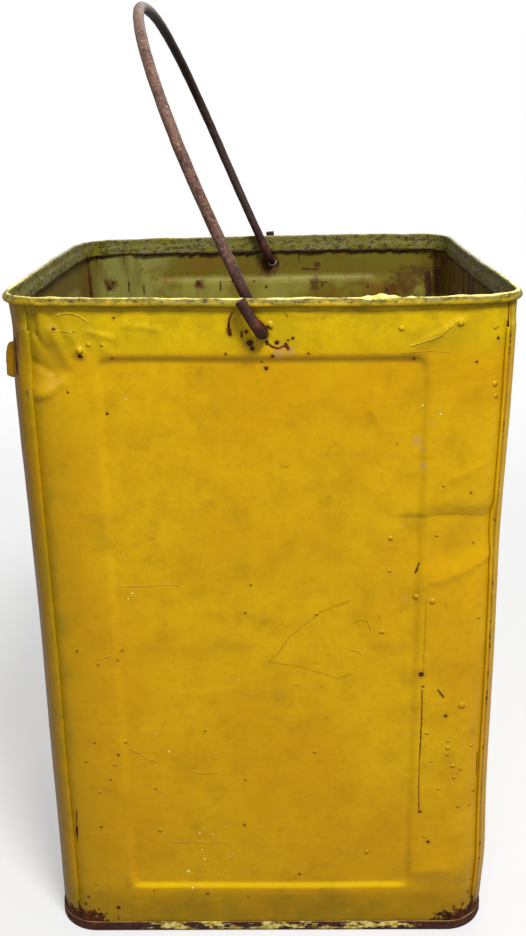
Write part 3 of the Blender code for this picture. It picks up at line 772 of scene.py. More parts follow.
def enamel_on_tin(name, zone=None):
    """Brushed yellow alkyd enamel over tinplate: a thick, satin skin, blistered and rust-spotted."""
    material, tree, shader, coordinates = new_material(name, 0.16)
    parts = run_out_height(tree)
    height = parts[2]
    run = add(tree, "Math", {0: parts[0], 1: ROUND_TRIP / 2, 2: -ROUND_TRIP / 2}, operation="WRAP")
    on_wall = add(tree, "CombineXYZ", {0: run, 2: height})
    rough_edged = ragged(tree, on_wall, 1.1 * MM)
    big = add(tree, "TexNoise", {"Vector": coordinates, "Scale": 1 / (70 * MM), "Detail": 2.0})
    grime = add(tree, "TexNoise", {"Vector": coordinates, "Scale": 1 / (20 * MM), "Detail": 6.0,
                                   "Roughness": 0.68})
    small = add(tree, "TexNoise", {"Vector": coordinates, "Scale": 1 / (14 * MM), "Detail": 4.0})
    fine = add(tree, "TexNoise", {"Vector": coordinates, "Scale": 1 / (4.5 * MM), "Detail": 5.0,
                                  "Roughness": 0.7})
    strokes = add(tree, "Mapping", {"Vector": coordinates, "Scale": (0.09, 0.09, 1)})
    brushed = add(tree, "TexNoise", {"Vector": strokes, "Scale": 1 / (2.2 * MM), "Detail": 2.0})

    # Darker and more olive under the rim and at the foot, an olive band beside the left seam, and painted
    # shade round the left corner and on the left wall, away from the light
    at_foot = add(tree, "MapRange", {0: height, 1: 0.050, 2: 0.004, 4: 0.28}, **SOFTLY)
    under_rim = add(tree, "MapRange", {0: height, 1: 0.333, 2: 0.344, 4: 0.24}, **SOFTLY)
    darker_by_rim_and_foot = add(tree, "Math", {0: add(tree, "Math", {0: at_foot, 1: under_rim}), 1: grime})
    beside_seam = away_from(tree, run, LEFT_SEAM - DARK_STRIP)
    near_seam = add(tree, "MapRange", {0: beside_seam, 1: 0.040, 2: 0.032, 4: 0.30}, **SOFTLY)
    mossy = add(tree, "Math", {0: near_seam, 1: small})
    left_wall = add(tree, "MapRange", {0: run, 1: LEFT_SEAM, 2: LEFT_SEAM - 0.008, 4: 0.80}, **SOFTLY)
    fading = add(tree, "MapRange", {0: run, 1: LEFT_SEAM - 0.110, 2: LEFT_SEAM - DARK_STRIP}, **SOFTLY)

    # Colour: soft uneven clouds, darker ochre towards the foot, and above the panel a greener band with lemon
    # patches of painted glare, as light from above falls on it
    top_band_and_glare = layered(tree, "#B39A04", [(small, 0.42, 0.62, 1.0, "#D2B400")])
    layers = [
        (big, 0.35, 0.65, 1.0, "#C39000"),
        (height, 0.12, 0.03, 0.40, "#B08000"),
        (height, 0.030, 0.020, 0.70, "#8F6900"),
        # Painted glare: the band above the panel lighter, in lemon patches
        (height, 0.318, 0.330, 0.75, top_band_and_glare),
        (small, 0.42, 0.72, 0.35, "#A97E00"),
        (brushed, 0.52, 0.75, 0.12, "#D8B012"),
        (fine, 0.47, 0.62, 0.17, "#9C7200"),
        (grime, 0.52, 0.72, 0.22, "#8E6A00"),
        # Darker and more olive under the rim and at the foot, in patches
        (darker_by_rim_and_foot, 0.60, 0.90, 0.55, "#76620A"),
        # Painted shade: darker ochre round the left corner
        (beside_seam, 0.064, 0.030, 0.55, "#9A7604"),
        (mossy, 0.62, 0.90, 0.35, "#7E720C"),
        # Painted shade: the left wall darker behind the seam
        (add(tree, "Math", {0: left_wall, 1: fading}, **TIMES), "#966A00"),
    ]

    # The pressed panel: painted shade along its top slope and a painted highlight along its foot slope, as
    # light from above falls on them
    on_panel = add(tree, "MapRange", {0: away_from(tree, run, 0.0), 1: PANEL_HALF, 2: PANEL_HALF - 4 * MM,
                                      4: 0.55}, **SOFTLY)
    panel_shade_and_highlight = ((PANEL_TOP - PANEL_SLOPE / 2, 3.2 * MM, "#A07800"),
                   (PANEL_FOOT_MARGIN + PANEL_SLOPE / 2, 2.0 * MM, "#DCB800"))
    for level, reach, colour in panel_shade_and_highlight:
        edge = add(tree, "MapRange", {0: away_from(tree, height, level), 1: reach, 2: 0.5 * MM}, **SOFTLY)
        layers.append((add(tree, "Math", {0: edge, 1: on_panel}, **TIMES), colour))

    # Rust: specks all over, more at the foot's corners, and a broken line along the right seam
    from_line = away_from(tree, run, RIGHT_SEAM + 1.3 * MM)
    seam_line = add(tree, "MapRange", {0: from_line, 1: 1.5 * MM, 2: 0.2 * MM}, **SOFTLY)
    layers.append((add(tree, "Math", {0: seam_line, 1: 0.6}, **TIMES), "#7A5206"))
    low = add(tree, "MapRange", {0: height, 1: 0.019, 2: 0.007, 4: 0.34}, **SOFTLY)
    corner = add(tree, "MapRange", {0: from_axis(tree, coordinates), 1: 0.140, 2: 0.152}, **SOFTLY)
    low = add(tree, "Math", {0: low, 1: corner}, **TIMES)
    eaten = add(tree, "Math", {0: seam_line, 1: 0.15, 2: low}, operation="MULTIPLY_ADD")
    rusty = [pushed(tree, fine, eaten, 0.68, 0.74),
             specks(tree, rough_edged, (0, 0, 0), 8.5 * MM, 0.25, 0.38 * MM)]
    splashes = [specks(tree, rough_edged, (0.3, 0, 0.1), 15 * MM, 0.14, 0.28 * MM)]
    grit = specks(tree, on_wall, (0.7, 0, 0.4), 6.5 * MM, 0.60, 0.58 * MM)
    flattened = add(tree, "Mapping", {"Vector": rough_edged, "Scale": (0.3, 1, 1)})
    dashes = specks(tree, flattened, (0.2, 0, 0.9), 6.0 * MM, 0.35, 0.42 * MM)
    relief = [(grit, 0.32 * MM), (dashes, 0.22 * MM)]
    if zone:
        spots = nearest_mark(tree, rough_edged, in_zone(zone, RUST_SPOTS), in_zone(zone, RUST_STROKES))
        stain = nearest_spot(tree, ragged(tree, on_wall, 4 * MM), in_zone(zone, STAINS))
        # Dark lines of dirt, and one of painted shade along a crease
        lines = nearest_stroke(tree, rough_edged, in_zone(zone, DIRT_AND_SHADE_LINES))
        scratch = nearest_stroke(tree, rough_edged, in_zone(zone, SCRATCHES))
        layers += [(spots, 3.0, 1.0, 0.40, "#8C5F06"), (stain, 1.2, 0.5, 0.55, "#B48A50"),
                   (lines, 1.8, 0.4, 0.40, "#6F5500"), (scratch, 1.5, 0.2, 0.20, "#E2C040")]
        rusty.append(add(tree, "MapRange", {0: spots, 1: 1.25, 2: 0.85}, **SOFTLY))
        white = nearest_spot(tree, on_wall, in_zone(zone, WHITE_SPOTS))
        splashes.append(add(tree, "MapRange", {0: white, 1: 1.1, 2: 0.8}, **SOFTLY))
        domes = nearest_spot(tree, on_wall, in_zone(zone, BLISTERS))
        relief += [(add(tree, "MapRange", {0: domes, 1: 1.0, 2: 0.30}, **SOFTLY), 0.75 * MM),
                   (add(tree, "MapRange", {0: scratch, 1: 1.5, 2: 0.2}, **SOFTLY), 0.35 * MM)]
    rust = any_of(tree, rusty)
    layers += [(any_of(tree, splashes), "#DDD3A8"), (rust, rust_colour(tree, coordinates))]

    # Skin of the paint: brush strokes, orange peel, and the rust standing a little rough
    peel = add(tree, "TexNoise", {"Vector": coordinates, "Scale": 1 / (3.2 * MM), "Detail": 2.0})
    relief += [(brushed, 0.05 * MM), (peel, 0.16 * MM), (rust, 0.10 * MM)]
    gloss = add(tree, "MapRange", {0: small, 3: 0.22, 4: 0.36})
    finish_material(tree, shader, layered(tree, "#CA9D00", layers),
                    add(tree, "Mix", {0: rust, 2: gloss, 3: 0.85}), heaped(tree, relief))
    return material


def lacquered_inside():
    """Khaki can lacquer, rolled on: dull and thin, stained with rust, with runs down the walls."""
    material, tree, shader, coordinates = new_material("rolled_khaki_lacquer", 0.25)
    across, _, height = add(tree, "SeparateXYZ", {0: coordinates}).node.outputs
    run = run_out_height(tree)[0]
    big = add(tree, "TexNoise", {"Vector": coordinates, "Scale": 1 / (40 * MM), "Detail": 4.0})
    downward = add(tree, "Mapping", {"Vector": coordinates, "Scale": (1, 1, 0.16)})
    streak = add(tree, "TexNoise", {"Vector": downward, "Scale": 1 / (6 * MM), "Detail": 5.0})
    fine = add(tree, "TexNoise", {"Vector": coordinates, "Scale": 1 / (5 * MM), "Detail": 6.0,
                                  "Roughness": 0.7})
    puddles = add(tree, "TexNoise", {"Vector": coordinates, "Scale": 1 / (28 * MM), "Detail": 8.0,
                                     "Roughness": 0.68})

    # Stains and rust of the back wall, measured from its middle, and runs down the right wall
    from_back = add(tree, "Math", {0: 2 * WALL_RUN, 1: run}, operation="SUBTRACT")
    on_back = add(tree, "CombineXYZ", {0: from_back, 2: height})
    smear = nearest_spot(tree, ragged(tree, on_back, 7 * MM), INSIDE_SMEARS)
    smear = add(tree, "MapRange", {0: smear, 1: 1.1, 2: 0.3, 4: 0.30}, **SOFTLY)
    marks = nearest_mark(tree, ragged(tree, on_back, 2.2 * MM), INSIDE_SPOTS, INSIDE_STROKES)
    on_right = add(tree, "MapRange", {0: across, 1: 0.108, 2: 0.114, 4: 0.18}, **SOFTLY)
    low = add(tree, "MapRange", {0: height, 1: 0.06, 2: 0.0, 4: 0.25}, **SOFTLY)
    rust = any_of(tree, [
        add(tree, "MapRange", {0: fine, 1: 0.67, 2: 0.73}, **SOFTLY),
        add(tree, "MapRange", {0: marks, 1: 1.15, 2: 0.7}, **SOFTLY),
        pushed(tree, streak, on_right, 0.70, 0.76),
        pushed(tree, puddles, low, 0.68, 0.80),
        specks(tree, coordinates, (0, 0, 0), 9 * MM, 0.25, 0.8 * MM),
    ])
    wobbling = add(tree, "Math", {0: big, 1: 0.08, 2: across}, operation="MULTIPLY_ADD")
    stained = add(tree, "Math", {0: fine, 1: 0.5, 2: big}, operation="MULTIPLY_ADD")
    colour = layered(tree, "#878032", (
        (big, 0.38, 0.62, 1.0, "#6E6314"),
        (height, 0.319, 0.325, 0.85, "#5F5200"),
        (wobbling, -0.015, -0.040, 0.85, "#85823E"),
        (away_from(tree, across, 0.0), 0.106, 0.115, 0.75, "#5E470C"),
        (streak, 0.50, 0.72, 0.65, "#5E5210"),
        (stained, 0.76, 0.94, 0.80, "#6E4E10"),
        (add(tree, "Math", {0: smear, 1: fine}), 0.55, 0.80, 0.8, "#4E2C0C"),
        (add(tree, "Math", {0: rust, 1: 0.9}, **TIMES), rust_colour(tree, coordinates)),
    ))
    finish_material(tree, shader, colour, add(tree, "Mix", {0: rust, 2: 0.5, 3: 0.85}),
                    heaped(tree, [(fine, 0.18 * MM), (rust, 0.18 * MM)]))
    return material


def worn_rim_with_painted_highlight():
    """Seamed tinplate in worn paint: a painted cream highlight along the crest, dimmed towards the back,
    weathered olive and grey beside it, and painted shade at its foot.
    """
    material, tree, shader, coordinates = new_material("worn_painted_tinplate_with_painted_highlight", 0.2)
    _, out, height = run_out_height(tree)
    flat = add(tree, "Mapping", {"Vector": coordinates, "Scale": (0.6, 0.6, 1)})
    patch = add(tree, "TexNoise", {"Vector": flat, "Scale": 1 / (9 * MM), "Detail": 6.0, "Roughness": 0.68})
    fine = add(tree, "TexNoise", {"Vector": flat, "Scale": 1 / (2.2 * MM), "Detail": 5.0, "Roughness": 0.7})
    speckled = add(tree, "MapRange", {0: fine, 1: 0.48, 2: 0.62}, **SOFTLY)
    rubbed = add(tree, "Math", {0: fine, 1: 0.6, 2: patch}, operation="MULTIPLY_ADD")

    # The outer face is yellow below, weathered to olive and grey above, with dark chips, and brown painted
    # shade along its foot where it meets the wall
    upper = add(tree, "MapRange", {0: height, 1: TIN_HEIGHT - 2.8 * MM, 2: TIN_HEIGHT - 1.4 * MM}, **SOFTLY)
    grey = layered(tree, "#857A40", [(speckled, "#40361A")])
    olive = layered(tree, "#7C7010", ((patch, 0.42, 0.58, 1.0, "#5E4C0A"), (rubbed, 0.83, 0.89, 1.0, grey)))
    weathered = add(tree, "Math", {0: fine, 1: 1.3, 2: -0.15}, operation="MULTIPLY_ADD")
    weathered = add(tree, "Math", {0: weathered, 1: upper}, **TIMES)
    chipped = add(tree, "MapRange", {0: fine, 1: 0.54, 2: 0.60, 4: 0.9}, **SOFTLY)
    # Painted highlight: a cream line along the crest, dimmed towards the back
    crest = add(tree, "Math", {0: patch, 1: 2.4 * MM, 2: height}, operation="MULTIPLY_ADD")
    crest = add(tree, "MapRange", {0: crest, 1: TIN_HEIGHT + 0.6 * MM, 2: TIN_HEIGHT + 0.9 * MM}, **SOFTLY)
    deep = add(tree, "SeparateXYZ", {0: coordinates}, 1)
    cream = layered(tree, "#E8DC80", ((speckled, "#B4A428"), (deep, -0.115, 0.01, 0.85, "#6B6640")))
    # Painted shade: brown along the foot of the outer face
    lower = add(tree, "MapRange", {0: height, 1: TIN_HEIGHT - 3.0 * MM, 2: TIN_HEIGHT - 3.8 * MM, 4: 0.7},
                **SOFTLY)
    outer = add(tree, "MapRange", {0: out, 1: 0.0, 2: 1 * MM}, **SOFTLY)
    brown = layered(tree, "#9A6A08", [(speckled, "#6B4206")])

    # The hammered band inside is thick with olive paint, spotted grey and brown, dark along its torn edge
    edge = add(tree, "Math", {0: fine, 1: 1.5 * MM, 2: height}, operation="MULTIPLY_ADD")
    mottled = layered(tree, "#6E660C", (
        (patch, 0.42, 0.58, 1.0, "#403A0C"),
        (rubbed, 0.72, 0.84, 0.5, "#8A8242"),
        (fine, 0.49, 0.57, 0.85, "#2C250A"),
        (edge, TIN_HEIGHT - 8.0 * MM, TIN_HEIGHT - 9.0 * MM, 1.0, "#2E1A0A"),
    ))
    band = add(tree, "MapRange", {0: out, 1: -0.3 * MM, 2: -0.7 * MM}, **SOFTLY)
    below = add(tree, "MapRange", {0: crest, 3: 1.0, 4: 0.0})
    rust = add(tree, "MapRange", {0: fine, 1: 0.67, 2: 0.72}, **SOFTLY)
    colour = layered(tree, "#B8960A", (
        (patch, 0.42, 0.58, 1.0, "#8E7C08"),
        (weathered, 0.30, 0.48, 1.0, olive),
        (add(tree, "Math", {0: chipped, 1: upper}, **TIMES), "#3C2A0C"),
        (crest, cream),
        (add(tree, "Math", {0: lower, 1: outer}, **TIMES), brown),
        (add(tree, "Math", {0: band, 1: below}, **TIMES), mottled),
        (rust, rust_colour(tree, coordinates)),
    ))
    finish_material(tree, shader, colour, add(tree, "Mix", {0: rust, 2: 0.45, 3: 0.85}),
                    heaped(tree, [(fine, 0.5 * MM), (patch, 0.5 * MM)]))
    return material


def rusted_base():
    """Pressed tinplate, rusted through its paint: matt and scabby, with yellow flakes of paint left."""
    material, tree, shader, coordinates = new_material("rusted_pressed_tinplate", 0.3)
    flat = add(tree, "Mapping", {"Vector": coordinates, "Scale": (0.45, 0.45, 1)})
    patch = add(tree, "TexNoise", {"Vector": flat, "Scale": 1 / (5 * MM), "Detail": 6.0, "Roughness": 0.7})
    fine = add(tree, "TexNoise", {"Vector": coordinates, "Scale": 1 / (2.2 * MM), "Detail": 4.0})
    height = add(tree, "SeparateXYZ", {0: coordinates}, 2)
    corner = add(tree, "MapRange", {0: from_axis(tree, coordinates), 1: 0.134, 2: 0.148, 4: -0.16}, **SOFTLY)
    middle = add(tree, "Math", {0: height, 1: 3.2 * MM, 2: 1.5 * MM}, operation="COMPARE")
    held = add(tree, "Math", {0: middle, 1: 0.05, 2: corner}, operation="MULTIPLY_ADD")
    flake = pushed(tree, patch, held, 0.52, 0.57)
    paint = layered(tree, "#CDBF70", [(fine, 0.42, 0.60, 1.0, "#A98A16")])
    colour = layered(tree, rust_colour(tree, coordinates), (
        (0.5, "#260E09"),
        (flake, paint),
        (height, 5.4 * MM, 5.8 * MM, 0.55, "#A97C4E"),
        (height, 1.6 * MM, 0.6 * MM, 0.85, "#1E0D08"),
    ))
    finish_material(tree, shader, colour, add(tree, "Mix", {0: flake, 2: 0.85, 3: 0.5}),
                    heaped(tree, [(fine, 0.35 * MM), (flake, 0.25 * MM)]))
    return material


def rusted_rod_with_painted_shade():
    """Drawn steel rod, rusted all over: dry brown with a grey bloom, pitted, near black at the holes, with
    painted shade darkening the far leg.
    """
    material, tree, shader, coordinates = new_material("rusted_drawn_steel_with_painted_shade", 0.25)
    _, deep, height = add(tree, "SeparateXYZ", {0: coordinates}).node.outputs
    coarse = add(tree, "TexNoise", {"Vector": coordinates, "Scale": 1 / (7 * MM), "Detail": 5.0,
                                    "Roughness": 0.65})
    fine = add(tree, "TexNoise", {"Vector": coordinates, "Scale": 1 / (1.3 * MM), "Detail": 4.0,
                                  "Roughness": 0.7})
    near_holes = layered(tree, "#1C0906", [(coarse, 0.35, 0.65, 1.0, "#38140A")])
    wet = add(tree, "MapRange", {0: height, 1: 0.372, 2: 0.345, 4: 0.92}, **SOFTLY)
    gripped = add(tree, "Math", {0: height, 1: 0.435, 2: 0.025}, operation="COMPARE")
    colour = layered(tree, "#4A3228", (
        (coarse, 0.35, 0.65, 1.0, "#6B4B3D"),
        (fine, 0.48, 0.66, 0.6, "#8F7263"),
        (fine, 0.44, 0.36, 0.7, "#24120C"),
        # Painted shade: the far leg near black
        (deep, -0.05, 0.03, 0.80, "#1C100C"),
        (wet, near_holes),
        (add(tree, "Math", {0: wet, 1: coarse}), 1.44, 1.62, 0.5, "#6E3517"),
        (add(tree, "Math", {0: gripped, 1: 0.10, 2: fine}, operation="MULTIPLY_ADD"), 0.76, 0.80, 0.8,
         "#C9BCA4"),
    ))
    finish_material(tree, shader, colour, add(tree, "MapRange", {0: fine, 3: 0.42, 4: 0.70}),
                    heaped(tree, [(fine, 0.35 * MM), (coarse, 0.35 * MM)]))
    return material


def make_lid_rim():
    """Make the rim seam, beaten round and thick with paint, and the ragged band of lid inside it."""
    top = TIN_HEIGHT - SHEET / 2
    foot = TIN_HEIGHT - RIM_SEAM_HEIGHT
    outer = RIM_PROUD - SHEET / 2
    band_foot = TIN_HEIGHT - LID_BAND_HEIGHT
    profile = [(SEAM_LEG, foot + 0.9 * MM), (SEAM_LEG, foot), (outer - 0.6 * MM, foot + 0.1 * MM),
               (outer, foot + 1.1 * MM), (outer - 0.3 * MM, top - 1.2 * MM), (0.7 * MM, top - 0.1 * MM),
               (-0.2 * MM, top), (-SEAM_LEG, top - 0.6 * MM), (-SEAM_LEG, foot)]
    line = rounded(profile, RIM_ROUND, ROUND_STEPS)
    rim_points = len(line)
    for step in range(1, BAND_STEPS + 1):
        share = step / BAND_STEPS
        line.append((-SEAM_LEG - LID_BAND_LEAN * share, foot + (band_foot - foot) * share))

    def wear(run, level):
        around = Vector((*plan(run, 0), 0))
        out, height = line[level]
        if level < rim_points:
            crusty = 0.22 * noise.noise(around * 150 + Vector((0, 0, height * 300)))
            crusty += 0.16 * noise.noise(around * 420 + Vector((0, 0, height * 500)))
            swell = 0.35 * noise.noise(around * 50)
            away = (run + ROUND_TRIP / 2) % ROUND_TRIP - ROUND_TRIP / 2
            for middle, drop, radius, size in RIM_LUMPS:
                spread = math.hypot(away / MM - middle, (top - height) / MM - drop) / radius
                crusty += size * math.exp(-(spread ** 2) * 1.5) if spread < 2 else 0
            leaning = ease((out + SEAM_LEG) / (outer + SEAM_LEG))
            on_crest = ease((height - foot) / (top - foot))
            return ((min(crusty, 0.25) - 0.25) * leaning * MM, (crusty + swell) * on_crest * MM)
        down = (level - rim_points + 1) / BAND_STEPS
        ragged_edge = 1.5 * noise.noise(around * 90) + 1.3 * noise.noise(around * 300)
        ragged_edge += 0.9 * noise.noise(around * 800)
        beaten = abs(noise.noise(around * 45 + Vector((0, 0, 3)))) * 1.1
        crust = 0.25 + 0.3 * noise.noise(around * 330 + Vector((0, 0, height * 330)))
        return -(beaten * down + max(crust, 0) * min(3 * down, 1)) * MM, ragged_edge * down ** 3 * MM

    worn = worn_rim_with_painted_highlight()
    rim = sheet_object("seamed_rim", pressed_ring(line, wear), [worn], worn)
    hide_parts("lid_rim")
    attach(rim, "tin")


def make_base(inside):
    """Make the base plate with its step and the channel that holds the walls' foot."""
    floor = SHEET / 2
    step = -SEAM_LEG - BASE_STEP_WIDTH
    profile = [(step - BASE_STEP_RUN, BASE_PANEL_RISE - BASE_STEP_RISE), (step, BASE_PANEL_RISE),
               (-SEAM_LEG, BASE_PANEL_RISE), (-SEAM_LEG, floor), (SEAM_LEG, floor),
               (SEAM_LEG, BASE_SEAM_HEIGHT)]
    line = rounded(profile, BASE_ROUND, ROUND_STEPS)
    seam = BASE_SEAM_HEIGHT - floor
    line = line[:-1] + [(SEAM_LEG, floor + seam * share) for share in (0.3, 0.5, 0.7, 0.85, 1)]

    def wear(run, level):
        around = Vector((*plan(run, 0), 0))
        out, height = line[level]
        if out < SEAM_LEG - 0.00005:
            return 0, 0
        rise = (height - floor) / seam
        nibbled = 0.6 * noise.noise(around * 130) * rise ** 3
        scabs = 0.3 * noise.noise(around * 170)
        scabs += 0.2 * noise.noise(around * 500 + Vector((0, 0, height * 400)))
        return (max(scabs, 0) - 0.3 * rise ** 2) * MM, nibbled * MM

    plate = pressed_ring(line, wear)
    panel_edge = [edge for edge in plate.edges if edge.is_boundary
                  and max(vert.co.z for vert in edge.verts) < BASE_PANEL_RISE]
    bmesh.ops.contextual_create(plate, geom=panel_edge)
    bmesh.ops.recalc_face_normals(plate, faces=plate.faces)
    base = sheet_object("base_panel", plate, [rusted_base()], inside)
    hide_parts("base_plate")
    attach(base, "tin")


def hook_path(side, turn, reach, bend):
    """Bend one end of the rod: down to the hole, through the wall, and up outside to the cut end."""
    points = []
    for step in range(BEND_STEPS + 1):
        angle = math.pi / 2 * step / BEND_STEPS
        points.append((0, reach - bend * math.cos(angle), bend - bend * math.sin(angle)))
    for step in range(1, BEND_STEPS + 1):
        angle = math.pi / 2 * step / BEND_STEPS
        rise = bend - bend * math.cos(angle)
        points.append((rise * math.sin(turn), reach + bend * math.sin(angle), rise * math.cos(turn)))
    for share in (0.25, 0.5, 0.75, 1):
        up = bend + (HOOK_LENGTH - bend) * share
        points.append((up * math.sin(turn), reach + bend, up * math.cos(turn)))
    return [(across, side * along, up) for across, along, up in points]


def arch_path(leg):
    """Bend the arch between two legs, a rounded square bowed a little out of its plane."""
    points = []
    for step in range(ARCH_STEPS + 1):
        angle = math.pi * (step / ARCH_STEPS)
        along = math.copysign(abs(math.cos(angle)) ** (2 / BAIL_ROUNDNESS), -math.cos(angle))
        up = BAIL_LEG + (BAIL_RISE - BAIL_LEG) * math.sin(angle) ** (2 / BAIL_ROUNDNESS)
        points.append((BAIL_BOW * (up / BAIL_RISE) ** 2, leg * along, up))
    return points


def leg_path(side, leg, bend):
    """Run one straight leg from its bend up to the arch."""
    ups = spaced([bend, BAIL_LEG], LEG_STEP)[1:-1]
    return [(BAIL_BOW * (up / BAIL_RISE) ** 2, side * leg, up) for up in ups]


def make_bail():
    """Bend the rod into the bail, then roughen it with rust scale."""
    reach = HALF + WALL_MIDDLE
    bend = ROD_RADIUS + RIM_PROUD + HOOK_CLEARANCE + SHEET / 2
    leg = reach - bend
    path = hook_path(-1, FRONT_HOOK_TURN, reach, bend)[::-1] + leg_path(-1, leg, bend)
    path += arch_path(leg) + leg_path(1, leg, bend)[::-1] + hook_path(1, BACK_HOOK_TURN, reach, bend)
    curve = bpy.data.curves.new("bent_rod", "CURVE")
    curve.dimensions = "3D"
    curve.bevel_depth = ROD_RADIUS
    curve.bevel_resolution = ROD_SIDES - 2
    curve.use_fill_caps = True
    spline = curve.splines.new("POLY")
    spline.points.add(len(path) - 1)
    for spline_point, point in zip(spline.points, path):
        spline_point.co = (*point, 1)
    bent = put("bent_rod", curve)
    skew = math.atan2(BACK_HOLE_SHIFT - FRONT_HOLE_SHIFT, 2 * reach)
    bent.location = ((FRONT_HOLE_SHIFT + BACK_HOLE_SHIFT) / 2, 0, HOLE_HEIGHT)
    bent.rotation_euler = (0, -BAIL_LEAN, -skew)
    bpy.context.view_layer.update()

    rod = bmesh.new()
    shaped = bpy.data.meshes.new_from_object(bent.evaluated_get(bpy.context.evaluated_depsgraph_get()))
    rod.from_mesh(shaped)
    rod.transform(bent.matrix_world)
    bpy.data.objects.remove(bent)
    bmesh.ops.remove_doubles(rod, verts=rod.verts, dist=WELD)
    bmesh.ops.recalc_face_normals(rod, faces=rod.faces)
    for vert in rod.verts:
        scale = noise.noise(vert.co * 180) * 0.00014 + noise.noise(vert.co * 600) * 0.00007
        vert.co += vert.normal * (scale - 0.00008)
    mesh = bpy.data.meshes.new("bail_rod")
    rod.to_mesh(mesh)
    rod.free()
    mesh.materials.append(rusted_rod_with_painted_shade())
    mesh.shade_smooth()
    mesh.set_sharp_from_angle(angle=ROD_SHARP)
    bail = put("bail_rod", mesh)
    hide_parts("bail")
    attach(bail, "handle")


def make_body(inside):
    """Make the two folded sheets of the walls."""
    finishes = []
    for left, right in zip(ZONE_RUNS, ZONE_RUNS[1:]):
        for low, high in zip(ZONE_HEIGHTS, ZONE_HEIGHTS[1:]):
            name = f"brushed_yellow_enamel_front_{len(finishes) + 1}"
            finishes.append(enamel_on_tin(name, (left, right, low, high)))
    front = body_sheet("front_wall", front_edge, LEFT_SEAM, RIGHT_SEAM, FRONT_STEP, FRONT_HOLE_SHIFT,
                       finishes, inside)
    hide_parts("front_sheet")
    rear = body_sheet("side_and_back_walls", rear_edge, RIGHT_SEAM, LEFT_SEAM + ROUND_TRIP, REAR_STEP,
                      2 * WALL_RUN - BACK_HOLE_SHIFT,
                      [enamel_on_tin("brushed_yellow_enamel_sides", BESIDE_FLAP)], inside)
    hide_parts("rear_sheet")
    for sheet in (front, rear):
        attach(sheet, "tin")


def make_flap(inside):
    """Bend the small flap that was torn out of the left wall, close behind the front corner."""
    root = -(FLAT + ARC + FLAP_BEHIND_CORNER)
    middle = TIN_HEIGHT - FLAP_DROP
    curl = 1.1 * MM

    def where(column, level):
        share = column / FLAP_COLUMNS
        up = level / FLAP_LEVELS * 2 - 1
        reach = FLAP_REACH * (1 - 0.35 * max(up, 0) ** 3) * share
        out = -0.3 * MM + reach + 0.25 * MM * noise.noise(Vector((0, share * 2, up * 4)))
        return root - curl * share ** 2, out, middle + up * FLAP_HEIGHT / 2 * (1 - 0.12 * share ** 2)

    blank = fold_blank(FLAP_COLUMNS, FLAP_LEVELS, where)
    bmesh.ops.reverse_faces(blank, faces=blank.faces)
    flap = sheet_object("torn_flap", blank, [enamel_on_tin("brushed_yellow_enamel_flap")], inside)
    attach(flap, "tin")


def make_camera():
    """Stand the camera where the photograph was taken from."""
    ahead = Vector((-math.sin(CAMERA_YAW), math.cos(CAMERA_YAW), 0))
    right = Vector((math.cos(CAMERA_YAW), math.sin(CAMERA_YAW), 0))
    up = Vector((0, 0, 1))
    look = ahead * math.cos(CAMERA_PITCH) - up * math.sin(CAMERA_PITCH)
    head = up * math.cos(CAMERA_PITCH) + ahead * math.sin(CAMERA_PITCH)
    rolled_right = right * math.cos(CAMERA_ROLL) + head * math.sin(CAMERA_ROLL)
    rolled_head = head * math.cos(CAMERA_ROLL) - right * math.sin(CAMERA_ROLL)
    lens = bpy.data.cameras.new("camera")
    lens.sensor_width = SENSOR
    lens.lens = FOCAL_PIXELS / IMAGE_LONG_SIDE * SENSOR
    camera = put("camera", lens)
    turn = Matrix((rolled_right, rolled_head, -look)).transposed().to_4x4()
    camera.matrix_world = Matrix.Translation(CAMERA_PLACE) @ turn
    bpy.context.scene.camera = camera


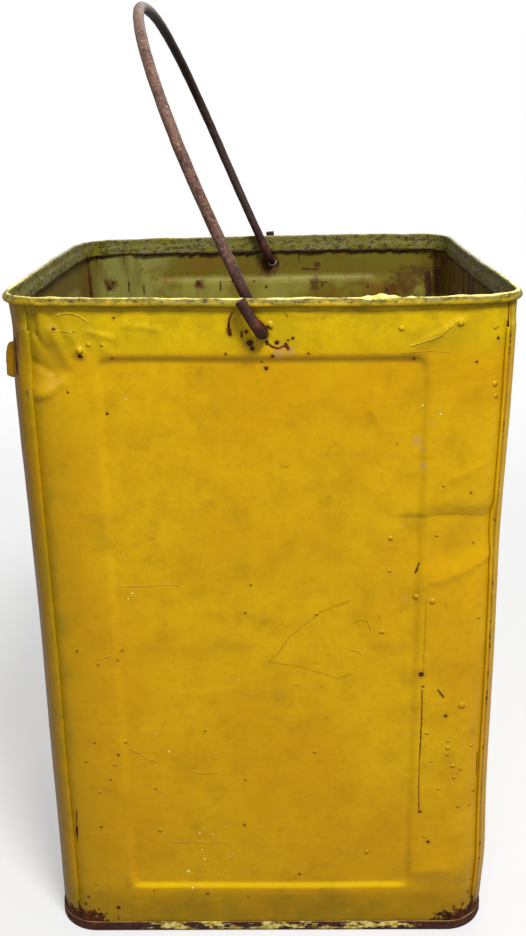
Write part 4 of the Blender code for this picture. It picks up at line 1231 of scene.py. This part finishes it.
def make_stage():
    """Lay a white floor under a white sky, both plain to the camera but softly shadowed."""
    floor_grid = bmesh.new()
    bmesh.ops.create_grid(floor_grid, x_segments=1, y_segments=1, size=FLOOR_HALF)
    mesh = bpy.data.meshes.new("floor")
    floor_grid.to_mesh(mesh)
    floor_grid.free()
    material, tree, shader, coordinates = new_material("white_paper_floor")
    seen = add(tree, "LightPath", output="Is Camera Ray")
    tree.links.new(layered(tree, "#9A9A9A", [(seen, "#D0D0D0")]), shader.inputs["Base Color"])
    shader.inputs["Roughness"].default_value = 0.9
    far = add(tree, "VectorMath", {0: coordinates}, "Value", operation="LENGTH")
    far = add(tree, "MapRange", {0: far, 1: 0.25, 2: 1.2, 3: 0.45, 4: 1.0}, **SOFTLY)
    share = add(tree, "Math", {0: seen, 1: far}, **TIMES)
    both = add(tree, "MixShader", {0: share, 1: shader.outputs[0], 2: add(tree, "Emission")})
    tree.links.new(both, tree.nodes["Material Output"].inputs["Surface"])
    mesh.materials.append(material)
    put("floor", mesh)

    world = bpy.data.worlds.new("white_sky")
    world.use_nodes = True
    bpy.context.scene.world = world
    tree = world.node_tree
    path = add(tree, "LightPath").node
    shown = add(tree, "Math", {0: path.outputs["Is Camera Ray"], 1: path.outputs["Is Glossy Ray"]}, **MOST)
    shown = add(tree, "Math", {0: shown, 1: path.outputs["Is Transmission Ray"]}, **MOST)
    strength = add(tree, "MapRange", {0: shown, 3: 0.24, 4: 1.0})
    background = tree.nodes["Background"]
    background.inputs["Color"].default_value = linear("#FFFFFF")
    tree.links.new(strength, background.inputs["Strength"])


def make_lights():
    """Hang soft lamps: a steep key from the right that models the relief, and two weak fills."""
    lamps = (
        ("key", (0.42, -0.95, 1.75), 0.5, 45.0),
        ("front fill", (-0.55, -1.60, 0.85), 0.4, 3.0),
        ("back fill", (0.30, 1.30, 1.20), 1.2, 10.0),
    )
    for name, where, size, power in lamps:
        lamp = bpy.data.lights.new(name, "AREA")
        lamp.shape = "DISK"
        lamp.size = size
        lamp.energy = power
        made = put(name, lamp)
        made.location = where
        towards = Vector((0, 0, TIN_HEIGHT / 2)) - Vector(where)
        made.rotation_euler = towards.to_track_quat("-Z", "Y").to_euler()


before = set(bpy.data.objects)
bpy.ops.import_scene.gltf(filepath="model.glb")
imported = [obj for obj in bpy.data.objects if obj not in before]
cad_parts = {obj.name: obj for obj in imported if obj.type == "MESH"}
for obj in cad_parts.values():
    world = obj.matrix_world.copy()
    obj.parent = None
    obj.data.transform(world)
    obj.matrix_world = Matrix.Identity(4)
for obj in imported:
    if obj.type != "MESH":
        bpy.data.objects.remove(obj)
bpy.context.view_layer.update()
bpy.context.scene.view_settings.view_transform = "Standard"
make_camera()
make_stage()
make_lights()
lacquer = lacquered_inside()
make_body(lacquer)
make_flap(lacquer)
make_lid_rim()
make_base(lacquer)
make_bail()
